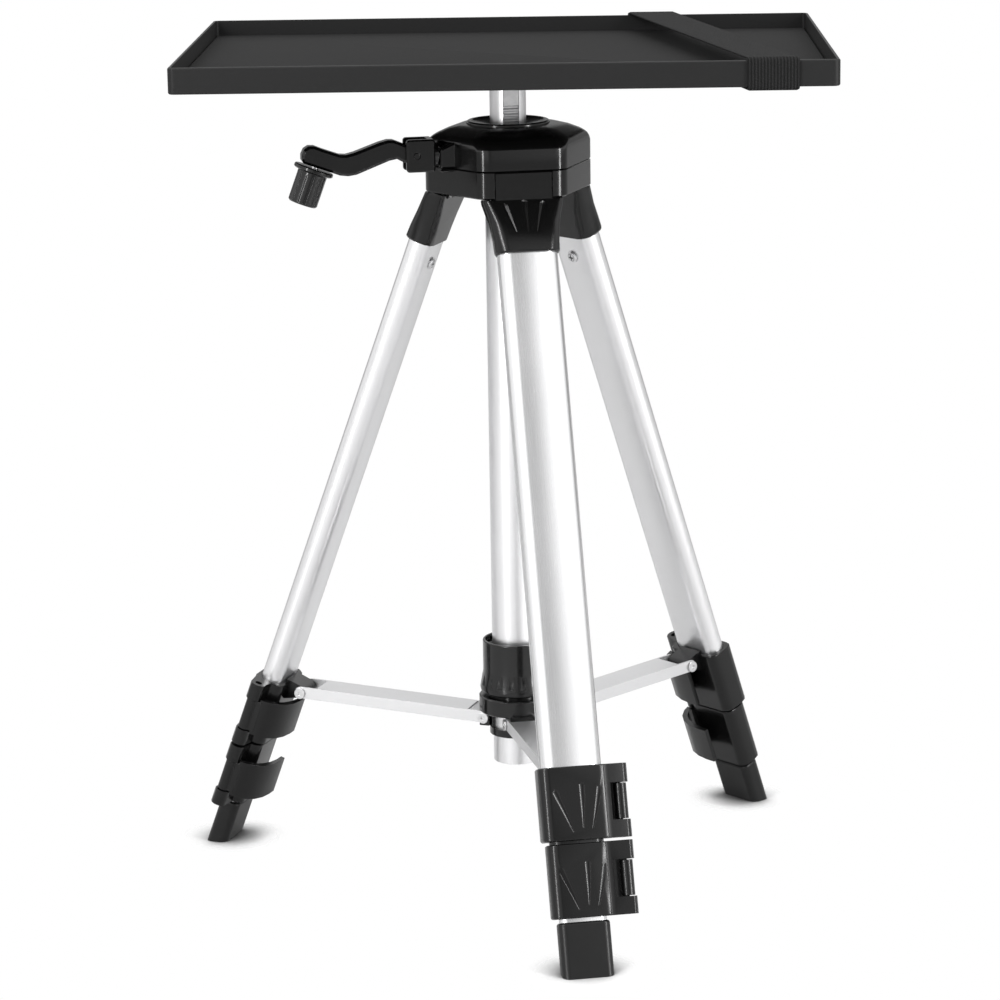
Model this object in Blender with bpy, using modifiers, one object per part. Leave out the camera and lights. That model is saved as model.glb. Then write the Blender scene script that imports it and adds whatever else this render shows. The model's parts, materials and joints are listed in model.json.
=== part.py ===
"""Projector stand: a tray with a strap on a cranked column, carried by a folding tripod with telescopic legs.

Run with: blender --background --python part.py
The stand's own axis is Z, the floor is Z = 0, and the tray's front edge faces -Y.
Every leg piece is drawn in its leg's frame: +X outward, +Y round the stand, -Z down the leg.
"""
import math

import bmesh
import bpy
from mathutils import Matrix, Vector

MM = 0.001

# Fits
SEAT = 0.3 * MM
RUN = 0.5 * MM
CLEAR = 7.6 * MM
ROUND = 28

# Tray, pad and strap
TRAY_WIDTH = 380 * MM
TRAY_DEPTH = 278 * MM
TRAY_RIM = 15.2 * MM
TRAY_WALL = 2.0 * MM
TRAY_CORNER = 4.0 * MM
TRAY_TOP = 521.0 * MM
PAD_THICK = 3.6 * MM
STRAP_WIDTH = 28.7 * MM
STRAP_THICK = 1.6 * MM
STRAP_FRONT_X = 152 * MM
STRAP_BACK_X = 90 * MM
TRAY_SCREW_R = 4.0 * MM
TRAY_SCREW_HEAD_R = 8.0 * MM
TRAY_SCREW_HEAD = 1.6 * MM

# Column, rack and outer tube
COLUMN_R = 11.0 * MM
COLUMN_BORE_R = 5.8 * MM
COLUMN_LOW = 76 * MM
RACK_WIDTH = 9.3 * MM
RACK_BACK = 1.4 * MM
RACK_FOOT = 165 * MM
RACK_LAST_TOOTH = 483 * MM
OUTER_TUBE_R = 14.65 * MM
OUTER_TUBE_WALL = 1.3 * MM
OUTER_TUBE_LOW = 69.7 * MM
OUTER_TUBE_TOP = 438 * MM
END_CAP = 5.0 * MM
MOUNT_FLANGE_R = 35 * MM
MOUNT_FLANGE = 2.6 * MM
MOUNT_HUB_R = 16 * MM
MOUNT_HUB = 10.5 * MM
MOUNT_ROOF = 1.1 * MM

# Gear: a pinion on the crank's shaft and the rack on the column
MODULE = 1.0 * MM
PINION_TEETH = 14
ADDENDUM = 0.75 * MM
DEDENDUM = 1.1 * MM
BACKLASH = 0.45 * MM
PRESSURE_ANGLE = math.radians(20)
PINION_WIDTH = 8.2 * MM
RACK_TIP_INSET = 0.1 * MM

# Crown: six sides, three of them facing the legs
CROWN_LEG_FACE = 46.0 * MM
CROWN_LEG_FACE_HALF = 25.0 * MM
CROWN_CORNER = 10.0 * MM
CROWN_LOW = 430.5 * MM
CROWN_PART = 447.4 * MM
COLLAR_R = 25.0 * MM
COLLAR_TOP = 472.4 * MM
COLLAR_SEAT = 465.4 * MM
NOTCH_HALF = 17.6 * MM
NOTCH_BACK = 27.0 * MM
COLLAR_LIP = 2.0 * MM
COLLAR_DISH = 3.6 * MM
CROWN_RINGS = [
    (458.8, 46.0, 44.65, 10.0),
    (461.3, 44.6, 44.5, 10.5),
    (463.4, 42.6, 44.0, 11.0),
    (464.9, 40.7, 42.9, 11.5),
    (466.3, 38.5, 41.0, 12.0),
    (468.9, 33.0, 34.8, 12.5),
    (470.6, 27.4, 27.8, 13.0),
]

# Crank
CRANK_Z = 455.5 * MM
SHAFT_R = 3.0 * MM
SHAFT_INNER = 12.0 * MM
BOSS_END = 46.2 * MM
BOSS_HALF = 8.2 * MM
BOSS_LOW = 445.0 * MM
BOSS_TOP = 459.5 * MM
BOSS_RISE = 5.2 * MM
BLOCK_START = 49.0 * MM
BLOCK_END = 66.4 * MM
BLOCK_HALF = 8.3 * MM
BLOCK_HEIGHT = 19.6 * MM
BLOCK_CORNER = 1.8 * MM
SHOULDER_R = 7.0 * MM
FORK_FLOOR = 53.6 * MM
FOLD_PIN_AT = 60.0 * MM
FOLD_PIN_R = 1.9 * MM
ARM_THICK = 9.6 * MM
ARM_UPPER_EDGE = [
    (-3.6, 5.2), (4, 5.6), (9.5, 8.0), (13.5, 9.6), (17, 9.7), (22, 8.4), (37, 3.1), (42, 1.9),
    (46, 2.2), (56, 5.8), (61, 7.9), (64.5, 8.0), (67.2, 6.3), (68.8, 3.0), (68.9, -1.8),
]
ARM_LOWER_EDGE = [
    (50.6, -8.6), (46, -10.3), (41, -10.9), (36, -10.2), (16, -2.6), (11.5, -1.8), (7.5, -4.0),
    (4, -5.2), (-1.5, -5.2),
]
ARM_PIN_EDGE = (-5.4, 0.0)
KNOB_LEAN = math.radians(20.5)
KNOB_AT = (60.8, -5.2)
KNOB_R = 9.0 * MM
KNOB_RIBS = 14
KNOB_RIB_R = 0.9 * MM
KNOB_FLANGE_R = 12.1 * MM
KNOB_FLANGE = 3.0 * MM
KNOB_LENGTH = 23.0 * MM
KNOB_BOLT_R = 2.4 * MM
KNOB_BOLT_HEAD_R = 4.2 * MM
KNOB_BOLT_HEAD = 2.4 * MM

# Legs: three telescopic sections with flattened tubes
LEG_NAMES = ("front", "right", "left")
FRONT_AZIMUTH = math.radians(-78)
LEG_LEAN = math.radians(20.47)
LEG_PIVOT_R = 38.1 * MM
LEG_PIVOT_Z = 440.0 * MM
TUBE_WIDTH = 36.6 * MM
TUBE_DEPTH = 14.6 * MM
TUBE_STEP_WIDTH = 4.2 * MM
TUBE_STEP_DEPTH = 3.0 * MM
TUBE_WALL = 1.0 * MM
UPPER_TUBE_TOP = 37.0 * MM
MIDDLE_TUBE_TOP = 67.0 * MM
LOWER_TUBE_TOP = 71.0 * MM
PIVOT_Z = 438.0 * MM
PIVOT_PIN_R = 2.4 * MM

# Leg brackets: a tongue in the crown and a shroud round the top of the leg
TONGUE_TOP = 446.4 * MM
TONGUE_FACE_R = 46.0 * MM
TONGUE_BACK_R = 31.0 * MM
SHROUD_TOP = 430.0 * MM
SHROUD_WALL = 1.6 * MM
SHROUD_RINGS = [
    (44.5, 9.0, 0.5, 7.5),
    (43.4, 9.5, 1.3, 7.5),
    (36.0, 8.8, 1.7, 7.0),
    (26.0, 7.0, 2.9, 6.0),
    (19.0, 5.7, 4.5, 5.0),
    (12.5, 4.5, 6.1, 4.2),
    (4.0, 3.1, 6.7, 4.0),
]
SHROUD_FLUTES = [((15.6, -12.0), (32.0, -7.0)), ((13.4, 0.0), (32.4, 0.0)), ((14.8, 11.0), (32.2, 6.0))]
PLUG_END = 65.0 * MM
SCREW_AT = 58.5 * MM
SCREW_R = 2.0 * MM
SCREW_HEAD_R = 3.6 * MM
SCREW_HEAD = 1.5 * MM

# Leg clamps, measured down the leg from the crown pivot
UPPER_CLAMP_AT = 349.6 * MM
CLAMP_HEIGHT = 43.0 * MM
CLAMP_GAP = 1.7 * MM
CLAMP_SIDE = 2.2 * MM
CLAMP_FACE = 2.9 * MM
CLAMP_CORNER = 6.0 * MM
CLAMP_GRIP = 13.0 * MM
HINGE_OUT = 3.0 * MM
HINGE_TAN = TUBE_WIDTH / 2 + 9.5 * MM
KNUCKLE_R = 4.9 * MM
WINDOW_TOP = 11.0 * MM
WINDOW_BOTTOM = 32.7 * MM
CLAMP_FLUTES = [((14.6, -12.0), (38.0, -3.0)), ((11.5, 4.0), (36.0, 3.0)), ((13.3, 14.5), (36.6, 8.6))]
FLUTE_R = 2.6 * MM
FLUTE_TIP_R = 0.7 * MM
FLUTE_SINK = 0.9 * MM
LEVER_PIN_R = 1.9 * MM
LEVER_BARREL_R = 3.9 * MM
LEVER_HEIGHT = 24.6 * MM
LEVER_OUTER = [
    (-2.4, 1.8), (-7.0, 0.8), (-12.4, -2.7), (-16.6, -8.2), (-19.2, -16.0), (-20.3, -24.8), (-20.4, -32.0),
]
LEVER_INNER = [
    (-17.6, -32.0), (-17.4, -24.8), (-16.2, -17.2), (-13.6, -10.4), (-10.6, -6.0), (-6.6, -3.4), (-3.4, -2.6),
]

# Spreader: hub, lock ring and three channel braces
HUB_PIN_R = OUTER_TUBE_R + 3.85 * MM
HUB_PIN_Z = 97.5 * MM
HUB_BORE_GAP = 0.45 * MM
HUB_DISC_R = OUTER_TUBE_R + 8.75 * MM
HUB_DISC_LOW = 102.0 * MM
HUB_DISC_TOP = 112.6 * MM
HUB_NECK_R = OUTER_TUBE_R + 2.55 * MM
HUB_NECK_TOP = 140.0 * MM
HUB_CORE_R = OUTER_TUBE_R + 1.75 * MM
HUB_RING_R = OUTER_TUBE_R + 2.35 * MM
HUB_RING_LOW = 87.4 * MM
HUB_RING_TOP = 92.0 * MM
HUB_LUG_HALF = 8.4 * MM
HUB_LUG_OUT = OUTER_TUBE_R + 7.15 * MM
HUB_WINDOW_HALF = 6.5 * MM
LOCK_LOW = 114.4 * MM
LOCK_TOP = 148.0 * MM
LOCK_TOP_R = OUTER_TUBE_R + 5.95 * MM
LOCK_MOUTH_R = OUTER_TUBE_R + 4.35 * MM
LOCK_FLARE_R = OUTER_TUBE_R + 7.95 * MM
LOCK_FLUTES = 18
LEG_PIN_AT = 351.6 * MM
LEG_PIN_IN = 20.2 * MM
LUG_HALF = 8.5 * MM
LUG_TIP = 23.7 * MM
BRACE_WIDTH = 21.2 * MM
BRACE_ABOVE = 4.1 * MM
BRACE_BELOW = 3.3 * MM
BRACE_WALL = 1.2 * MM
BRACE_WEB_BACK = 11.0 * MM
RIVET_R = 2.0 * MM
RIVET_HEAD_R = 3.5 * MM
RIVET_HEAD = 1.2 * MM

# Feet
FOOT_SIDE = 1.3 * MM
FOOT_FACE = 2.5 * MM
FOOT_CORNER = 4.5 * MM
FOOT_GAP = 2.2 * MM
FOOT_SOCKET = 14.0 * MM
FOOT_EDGE = 1.6 * MM

# Sizes that follow from the ones above
TRAY_LOW = TRAY_TOP - TRAY_RIM
MOUNT_TOP = TRAY_LOW - SEAT
SOCKET_TOP = MOUNT_TOP - MOUNT_FLANGE - MOUNT_ROOF
COLUMN_TOP = SOCKET_TOP - SEAT
PINION_R = MODULE * PINION_TEETH / 2
PITCH = math.pi * MODULE
RACK_TIP = math.sqrt(COLUMN_R ** 2 - RACK_WIDTH ** 2 / 4) - RACK_TIP_INSET
RACK_ROOT = RACK_TIP - ADDENDUM - DEDENDUM
CRANK_R = RACK_TIP - ADDENDUM + PINION_R
MIDDLE_WIDTH = TUBE_WIDTH - TUBE_STEP_WIDTH
MIDDLE_DEPTH = TUBE_DEPTH - TUBE_STEP_DEPTH
LOWER_WIDTH = MIDDLE_WIDTH - TUBE_STEP_WIDTH
LOWER_DEPTH = MIDDLE_DEPTH - TUBE_STEP_DEPTH
FOOT_WIDTH = LOWER_WIDTH + 2 * FOOT_SIDE
FOOT_DEPTH = LOWER_DEPTH + 2 * FOOT_FACE
LOWER_CLAMP_AT = UPPER_CLAMP_AT + CLAMP_HEIGHT + CLAMP_GAP
FOOT_AT = LOWER_CLAMP_AT + CLAMP_HEIGHT + FOOT_GAP


def start_scene():
    """Removes what the scene holds and makes the collections for the stand and its cutters."""
    for item in list(bpy.data.objects):
        bpy.data.objects.remove(item)
    stand = bpy.data.collections.new("projector_stand")
    cutters = bpy.data.collections.new("cutters")
    bpy.context.scene.collection.children.link(stand)
    bpy.context.scene.collection.children.link(cutters)
    return stand, cutters


STAND, CUTTERS = start_scene()


def make_material(name, colour, metallic, roughness):
    """A plain Principled material."""
    material = bpy.data.materials.new(name)
    material.use_nodes = True
    shader = material.node_tree.nodes["Principled BSDF"]
    shader.inputs["Base Color"].default_value = (*colour, 1.0)
    shader.inputs["Metallic"].default_value = metallic
    shader.inputs["Roughness"].default_value = roughness
    material.diffuse_color = (*colour, 1.0)
    return material


MATERIALS = {
    "tray_paint": make_material("tray_paint", (0.030, 0.030, 0.032), 0.0, 0.55),
    "foam": make_material("foam", (0.045, 0.045, 0.047), 0.0, 0.95),
    "webbing": make_material("webbing", (0.020, 0.020, 0.022), 0.0, 0.85),
    "anodised": make_material("anodised", (0.78, 0.78, 0.79), 1.0, 0.32),
    "crown_plastic": make_material("crown_plastic", (0.012, 0.012, 0.013), 0.0, 0.22),
    "black_plastic": make_material("black_plastic", (0.022, 0.022, 0.023), 0.0, 0.36),
    "foot_rubber": make_material("foot_rubber", (0.028, 0.028, 0.029), 0.0, 0.62),
    "steel": make_material("steel", (0.62, 0.62, 0.63), 1.0, 0.28),
}


class Body:
    """One rigid group: an empty on its joint's axis, and the frame that its pieces are drawn in."""

    def __init__(self, name, parent=None, frame=None, axis_at=(0, 0, 0)):
        self.frame = frame or Matrix()
        self.world = self.frame @ Matrix.Translation(axis_at)
        self.empty = bpy.data.objects.new(name, None)
        self.empty.empty_display_size = 10 * MM
        STAND.objects.link(self.empty)
        above = parent.world if parent else Matrix()
        self.empty.parent = parent.empty if parent else None
        self.empty.matrix_basis = above.inverted() @ self.world

    def hold(self, item, frame=None):
        """Parents an object to the body and leaves its mesh in the given drawing frame."""
        item.parent = self.empty
        item.matrix_basis = self.world.inverted() @ (frame or self.frame)
        return item

    def add(self, item, material, frame=None):
        """Adds a finished piece of the stand."""
        item.data.materials.clear()
        item.data.materials.append(MATERIALS[material])
        STAND.objects.link(item)
        return self.hold(item, frame)

    def shape(self, target, tool, operation="DIFFERENCE", frame=None):
        """Cuts a piece with a tool, or joins the tool to it."""
        CUTTERS.objects.link(tool)
        tool.hide_render = True
        tool.display_type = "WIRE"
        self.hold(tool, frame)
        step = target.modifiers.new(tool.name, "BOOLEAN")
        step.operation = operation
        step.solver = "EXACT"
        step.object = tool
        return target

    def cut(self, target, *tools, frame=None):
        for tool in tools:
            self.shape(target, tool, "DIFFERENCE", frame)

    def join(self, target, *tools, frame=None):
        for tool in tools:
            self.shape(target, tool, "UNION", frame)


def arc(centre, radius, start, end, steps):
    """Points on an arc, with the angles in degrees."""
    angles = [math.radians(start + (end - start) * i / steps) for i in range(steps + 1)]
    return [(centre[0] + radius * math.cos(a), centre[1] + radius * math.sin(a)) for a in angles]


def rounded_box(x0, x1, y0, y1, radius, steps=4):
    """A rectangle with round corners, anticlockwise."""
    points = arc((x1 - radius, y0 + radius), radius, -90, 0, steps)
    points += arc((x1 - radius, y1 - radius), radius, 0, 90, steps)
    points += arc((x0 + radius, y1 - radius), radius, 90, 180, steps)
    points += arc((x0 + radius, y0 + radius), radius, 180, 270, steps)
    return points


def rounded_polygon(corners, radius, steps=3):
    """A convex polygon, anticlockwise, with each corner turned into an arc."""
    points = []
    count = len(corners)
    for i, corner in enumerate(corners):
        here = Vector(corner)
        before = (Vector(corners[i - 1]) - here).normalized()
        after = (Vector(corners[(i + 1) % count]) - here).normalized()
        half = before.angle(after) / 2
        centre = here + (before + after).normalized() * radius / math.sin(half)
        sweep = math.pi - 2 * half
        middle = centre - here
        aim = math.atan2(-middle.y, -middle.x)
        for step in range(steps + 1):
            angle = aim + sweep * (step / steps - 0.5)
            points.append((centre.x + radius * math.cos(angle), centre.y + radius * math.sin(angle)))
    return points


def flat_oval(width, depth, steps=7):
    """The section of a leg tube: two flat faces and round edges, with its width along Y."""
    radius = depth / 2
    reach = width / 2 - radius
    return arc((0, reach), radius, 0, 180, steps) + arc((0, -reach), radius, 180, 360, steps)


def circle(centre, radius, steps=ROUND):
    return arc(centre, radius, 0, 360 * (steps - 1) / steps, steps - 1)


def tidy(mesh):
    """Welds a converted mesh and turns its faces outward."""
    shape = bmesh.new()
    shape.from_mesh(mesh)
    bmesh.ops.remove_doubles(shape, verts=shape.verts, dist=1e-6)
    bmesh.ops.recalc_face_normals(shape, faces=shape.faces)
    shape.to_mesh(mesh)
    shape.free()


def prism(name, outlines, low, high):
    """Extrudes a flat outline, with any inner outline as a hole, from low to high along Z."""
    if len(outlines) == 1:
        return solid_prism(name, outlines[0], low, high)
    curve = bpy.data.curves.new(name, "CURVE")
    curve.dimensions = "2D"
    curve.fill_mode = "BOTH"
    curve.extrude = (high - low) / 2
    for outline in outlines:
        spline = curve.splines.new("POLY")
        spline.points.add(len(outline) - 1)
        for point, (x, y) in zip(spline.points, outline):
            point.co = (x, y, 0, 1)
        spline.use_cyclic_u = True
    flat = bpy.data.objects.new(name, curve)
    mesh = bpy.data.meshes.new_from_object(flat)
    bpy.data.objects.remove(flat)
    bpy.data.curves.remove(curve)
    mesh.name = name
    mesh.transform(Matrix.Translation((0, 0, (high + low) / 2)))
    tidy(mesh)
    return bpy.data.objects.new(name, mesh)


def solid_prism(name, outline, low, high):
    """Extrudes one face along Z."""
    mesh = bpy.data.meshes.new(name)
    shape = bmesh.new()
    face = shape.faces.new([shape.verts.new((x, y, low)) for x, y in outline])
    raised = bmesh.ops.extrude_face_region(shape, geom=[face], use_keep_orig=True)
    top = [item for item in raised["geom"] if isinstance(item, bmesh.types.BMVert)]
    bmesh.ops.translate(shape, verts=top, vec=(0, 0, high - low))
    bmesh.ops.recalc_face_normals(shape, faces=shape.faces)
    shape.to_mesh(mesh)
    shape.free()
    return bpy.data.objects.new(name, mesh)


def side_prism(name, outlines, half):
    """Extrudes an outline drawn in the XZ plane to both sides along Y."""
    item = prism(name, outlines, -half, half)
    item.data.transform(Matrix.Rotation(math.pi / 2, 4, "X"))
    return item


def turned(name, profile, steps=ROUND, hollow=False):
    """Turns a profile of (radius, height) points round Z; it runs down the outer side."""
    mesh = bpy.data.meshes.new(name)
    edges = [(i, i + 1) for i in range(len(profile) - 1)]
    if hollow:
        edges.append((len(profile) - 1, 0))
    mesh.from_pydata([(r, 0, z) for r, z in profile], edges, [])
    item = bpy.data.objects.new(name, mesh)
    screw = item.modifiers.new("turn", "SCREW")
    screw.axis = "Z"
    screw.angle = 2 * math.pi
    screw.steps = steps
    screw.render_steps = steps
    screw.use_merge_vertices = True
    screw.merge_threshold = 0.00001
    return item


def box(name, x, y, z):
    """A box between the given pairs of limits."""
    mesh = bpy.data.meshes.new(name)
    shape = bmesh.new()
    size = Matrix.Diagonal((x[1] - x[0], y[1] - y[0], z[1] - z[0], 1))
    centre = Matrix.Translation(((x[0] + x[1]) / 2, (y[0] + y[1]) / 2, (z[0] + z[1]) / 2))
    bmesh.ops.create_cube(shape, size=1, matrix=centre @ size)
    shape.to_mesh(mesh)
    shape.free()
    return bpy.data.objects.new(name, mesh)


def rod(name, radius, start, end, steps=ROUND, end_radius=None):
    """A cylinder or cone between two points."""
    start, end = Vector(start), Vector(end)
    along = end - start
    turn = Vector((0, 0, 1)).rotation_difference(along).to_matrix().to_4x4()
    mesh = bpy.data.meshes.new(name)
    shape = bmesh.new()
    bmesh.ops.create_cone(
        shape,
        cap_ends=True,
        segments=steps,
        radius1=radius,
        radius2=radius if end_radius is None else end_radius,
        depth=along.length,
        matrix=Matrix.Translation((start + end) / 2) @ turn,
    )
    shape.to_mesh(mesh)
    shape.free()
    return bpy.data.objects.new(name, mesh)


def loft(name, sections):
    """Skins closed rings of equal point counts, from the lowest to the highest, and caps both ends."""
    mesh = bpy.data.meshes.new(name)
    shape = bmesh.new()
    rings = []
    for section in sections:
        points = [shape.verts.new(point) for point in section]
        rings.append([shape.edges.new((points[i - 1], points[i])) for i in range(len(points))])
    for low, high in zip(rings, rings[1:]):
        bmesh.ops.bridge_loops(shape, edges=low + high)
    bmesh.ops.contextual_create(shape, geom=rings[0])
    bmesh.ops.contextual_create(shape, geom=rings[-1])
    bmesh.ops.recalc_face_normals(shape, faces=shape.faces)
    shape.to_mesh(mesh)
    shape.free()
    return bpy.data.objects.new(name, mesh)


def round_edges(item, width, segments=1, angle=40):
    """Bevels the sharp edges of a piece."""
    bevel = item.modifiers.new("edges", "BEVEL")
    bevel.width = width
    bevel.segments = segments
    bevel.limit_method = "ANGLE"
    bevel.angle_limit = math.radians(angle)
    bevel.use_clamp_overlap = True
    return item


def teardrop(name, length, head_r, tip_r):
    """A tapered groove cutter with a round head at its origin; it points down."""
    profile = [(0, head_r), (head_r * 0.71, head_r * 0.71), (head_r, 0)]
    profile += [(tip_r, -length), (0, -length - tip_r)]
    return turned(name, profile, steps=8)


def repeated(item, count):
    """Repeats a mesh evenly round Z in one cutter."""
    shape = bmesh.new()
    for i in range(count):
        copy = item.data.copy()
        copy.transform(Matrix.Rotation(2 * math.pi * i / count, 4, "Z"))
        shape.from_mesh(copy)
        bpy.data.meshes.remove(copy)
    shape.to_mesh(item.data)
    shape.free()
    return item


def turn_z(angle):
    return Matrix.Rotation(angle, 4, "Z")


def upright(azimuth, radius=0.0, height=0.0):
    """A frame at an azimuth round the stand: +X outward, +Z up."""
    return ROOT @ turn_z(azimuth) @ Matrix.Translation((radius, 0, height))


def leg_frame(azimuth):
    """A leg's own frame: +X out of its outer face, +Y round the stand, -Z down the leg."""
    return upright(azimuth, LEG_PIVOT_R, LEG_PIVOT_Z) @ Matrix.Rotation(-LEG_LEAN, 4, "Y")


def foot_outline():
    return rounded_box(-FOOT_DEPTH / 2, FOOT_DEPTH / 2, -FOOT_WIDTH / 2, FOOT_WIDTH / 2, FOOT_CORNER)


def ground_reach():
    """The corners of the stand's plan: the tray's, those of the soles and those of the lowest hinges."""
    points = [(x * TRAY_WIDTH / 2, y * TRAY_DEPTH / 2) for x in (-1, 1) for y in (-1, 1)]
    middle = LEG_PIVOT_R + LEG_PIVOT_Z * math.tan(LEG_LEAN)
    for i in range(3):
        azimuth = FRONT_AZIMUTH + i * math.radians(120)
        for out, across in foot_outline():
            radius = middle + out / math.cos(LEG_LEAN)
            x = radius * math.cos(azimuth) - across * math.sin(azimuth)
            y = radius * math.sin(azimuth) + across * math.cos(azimuth)
            points.append((x, y))
        low_end = LOWER_CLAMP_AT + CLAMP_HEIGHT
        for out, across in arc((HINGE_OUT, HINGE_TAN), KNUCKLE_R, 20, 200, 6):
            radius = LEG_PIVOT_R + low_end * math.sin(LEG_LEAN) + out * math.cos(LEG_LEAN)
            x = radius * math.cos(azimuth) - across * math.sin(azimuth)
            y = radius * math.sin(azimuth) + across * math.cos(azimuth)
            points.append((x, y))
    return points


def stand_centre():
    """How far the middle of the stand's plan lies from its column."""
    points = ground_reach()
    xs = [x for x, y in points]
    ys = [y for x, y in points]
    return (min(xs) + max(xs)) / 2, (min(ys) + max(ys)) / 2


PLAN_X, PLAN_Y = stand_centre()
ROOT = Matrix.Translation((-PLAN_X, -PLAN_Y, 0))
CROWN = ROOT @ turn_z(FRONT_AZIMUTH)
LEG_AZIMUTHS = [FRONT_AZIMUTH + i * math.radians(120) for i in range(3)]


def crown_ring(face, wall, radius):
    """The crown's six-sided plan; face and wall are how far its two kinds of side lie from the axis."""
    corners = []
    for i in range(3):
        across = (wall - face * 0.5) / math.sin(math.radians(60))
        angle = math.radians(120 * i)
        for side in (-1, 1):
            x = face * math.cos(angle) - side * across * math.sin(angle)
            y = face * math.sin(angle) + side * across * math.cos(angle)
            corners.append((x, y))
    return rounded_polygon(corners, radius)


CROWN_WALL = CROWN_LEG_FACE * 0.5 + CROWN_LEG_FACE_HALF * math.sin(math.radians(60))


# Crown, collar and outer tube
def build_crown(stand):
    plan = crown_ring(CROWN_LEG_FACE, CROWN_WALL, CROWN_CORNER)
    base = prism("crown_base", [plan], CROWN_LOW, CROWN_PART - SEAT)
    round_edges(base, 0.8 * MM)
    boss_width = (CRANK_R - BOSS_HALF, CRANK_R + BOSS_HALF)
    boss = box("base_boss", boss_width, (-BOSS_END, -30 * MM), (BOSS_LOW, CROWN_PART - SEAT))
    stand.join(base, round_edges(boss, 1.2 * MM))
    for azimuth in LEG_AZIMUTHS:
        height = (CROWN_LOW - 5 * MM, CROWN_PART + 5 * MM)
        notch = box("notch", (NOTCH_BACK, 60 * MM), (-NOTCH_HALF, NOTCH_HALF), height)
        stand.cut(base, notch, frame=upright(azimuth))
    tube_bore = rod("bore", OUTER_TUBE_R + SEAT, (0, 0, CROWN_LOW - CLEAR), (0, 0, OUTER_TUBE_TOP + SEAT))
    stand.cut(base, tube_bore)
    stand.cut(base, rod("column_bore", COLUMN_R + RUN, (0, 0, CROWN_LOW), (0, 0, CROWN_PART + CLEAR)))
    stand.add(base, "crown_plastic")

    sections = [[(x, y, CROWN_PART) for x, y in plan]]
    for height, face, wall, radius in CROWN_RINGS:
        ring = crown_ring(face * MM, wall * MM, radius * MM)
        sections.append([(x, y, height * MM) for x, y in ring])
    cover = loft("crown_cover", sections)
    boss = side_prism("cover_boss", [[
        (-BOSS_END, CROWN_PART),
        (-28 * MM, CROWN_PART),
        (-28 * MM, BOSS_TOP + BOSS_RISE),
        (-38 * MM, BOSS_TOP + BOSS_RISE * 0.6),
        (-BOSS_END + 1 * MM, BOSS_TOP),
        (-BOSS_END, BOSS_TOP - 1 * MM),
    ]], BOSS_HALF)
    boss.data.transform(turn_z(math.pi / 2))
    boss.data.transform(Matrix.Translation((CRANK_R, 0, 0)))
    stand.join(cover, round_edges(boss, 1.2 * MM))
    column_bore = rod("column_bore", COLUMN_R + RUN, (0, 0, CROWN_PART - CLEAR), (0, 0, COLLAR_TOP + CLEAR))
    stand.cut(cover, column_bore)
    recess = rod("collar_recess", COLLAR_R + SEAT, (0, 0, COLLAR_SEAT), (0, 0, COLLAR_TOP + CLEAR), steps=36)
    stand.cut(cover, recess)
    cavity = PINION_R + ADDENDUM + RUN
    across = PINION_WIDTH / 2 + RUN
    stand.cut(cover, rod("pinion_room", cavity, (CRANK_R, -across, CRANK_Z), (CRANK_R, across, CRANK_Z)))
    way = (CRANK_R - cavity, CRANK_R + cavity)
    stand.cut(cover, box("pinion_way", way, (-across, across), (CROWN_PART - 3 * MM, CRANK_Z)))
    inner_end = (CRANK_R, SHAFT_INNER + SEAT, CRANK_Z)
    stand.cut(cover, rod("shaft_bore", SHAFT_R + SEAT, inner_end, (CRANK_R, -60 * MM, CRANK_Z)))
    stand.add(cover, "crown_plastic")

    low = COLLAR_SEAT + SEAT
    bore = COLUMN_R + RUN
    profile = [
        (bore, low),
        (bore, COLLAR_TOP - COLLAR_DISH),
        (COLUMN_R + COLLAR_LIP, COLLAR_TOP - COLLAR_DISH),
        (COLLAR_R - 3.2 * MM, COLLAR_TOP - 0.9 * MM),
        (COLLAR_R - 2.6 * MM, COLLAR_TOP),
        (COLLAR_R - 0.7 * MM, COLLAR_TOP),
        (COLLAR_R, COLLAR_TOP - 0.7 * MM),
        (COLLAR_R, low),
    ]
    stand.add(turned("column_collar", profile, steps=36, hollow=True), "black_plastic")

    bore = OUTER_TUBE_R - OUTER_TUBE_WALL
    profile = [
        (bore, OUTER_TUBE_LOW),
        (bore, OUTER_TUBE_TOP),
        (OUTER_TUBE_R, OUTER_TUBE_TOP),
        (OUTER_TUBE_R, OUTER_TUBE_LOW),
    ]
    stand.add(turned("outer_tube", profile, steps=40, hollow=True), "anodised")
    low, high = OUTER_TUBE_LOW + SEAT, OUTER_TUBE_LOW + END_CAP
    plug = rod("tube_end_cap", bore - SEAT, (0, 0, low), (0, 0, high), steps=24)
    stand.add(plug, "black_plastic")


# Column with its rack and the tray's mount
def build_column(column):
    section = [circle((0, 0), COLUMN_R, 40), circle((0, 0), COLUMN_BORE_R, 24)]
    tube = prism("column", section, COLUMN_LOW, COLUMN_TOP)
    half = RACK_WIDTH / 2 + SEAT
    floor = RACK_ROOT - RACK_BACK - SEAT
    slot = box("rack_groove", (floor, 20 * MM), (-half, half), (RACK_FOOT - SEAT, COLUMN_TOP + 5 * MM))
    column.cut(tube, slot)
    column.add(tube, "anodised")
    column.add(rack_strip(), "steel")

    flange_low = MOUNT_TOP - MOUNT_FLANGE
    bore = TRAY_SCREW_R + SEAT
    socket = COLUMN_R + SEAT
    profile = [
        (socket, flange_low - MOUNT_HUB),
        (socket, SOCKET_TOP),
        (bore, SOCKET_TOP),
        (bore, MOUNT_TOP),
        (MOUNT_FLANGE_R, MOUNT_TOP),
        (MOUNT_FLANGE_R, flange_low),
        (MOUNT_HUB_R + 3 * MM, flange_low),
        (MOUNT_HUB_R, flange_low - 3 * MM),
        (MOUNT_HUB_R, flange_low - MOUNT_HUB),
    ]
    column.add(turned("tray_mount", profile, steps=28, hollow=True), "black_plastic")


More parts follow.
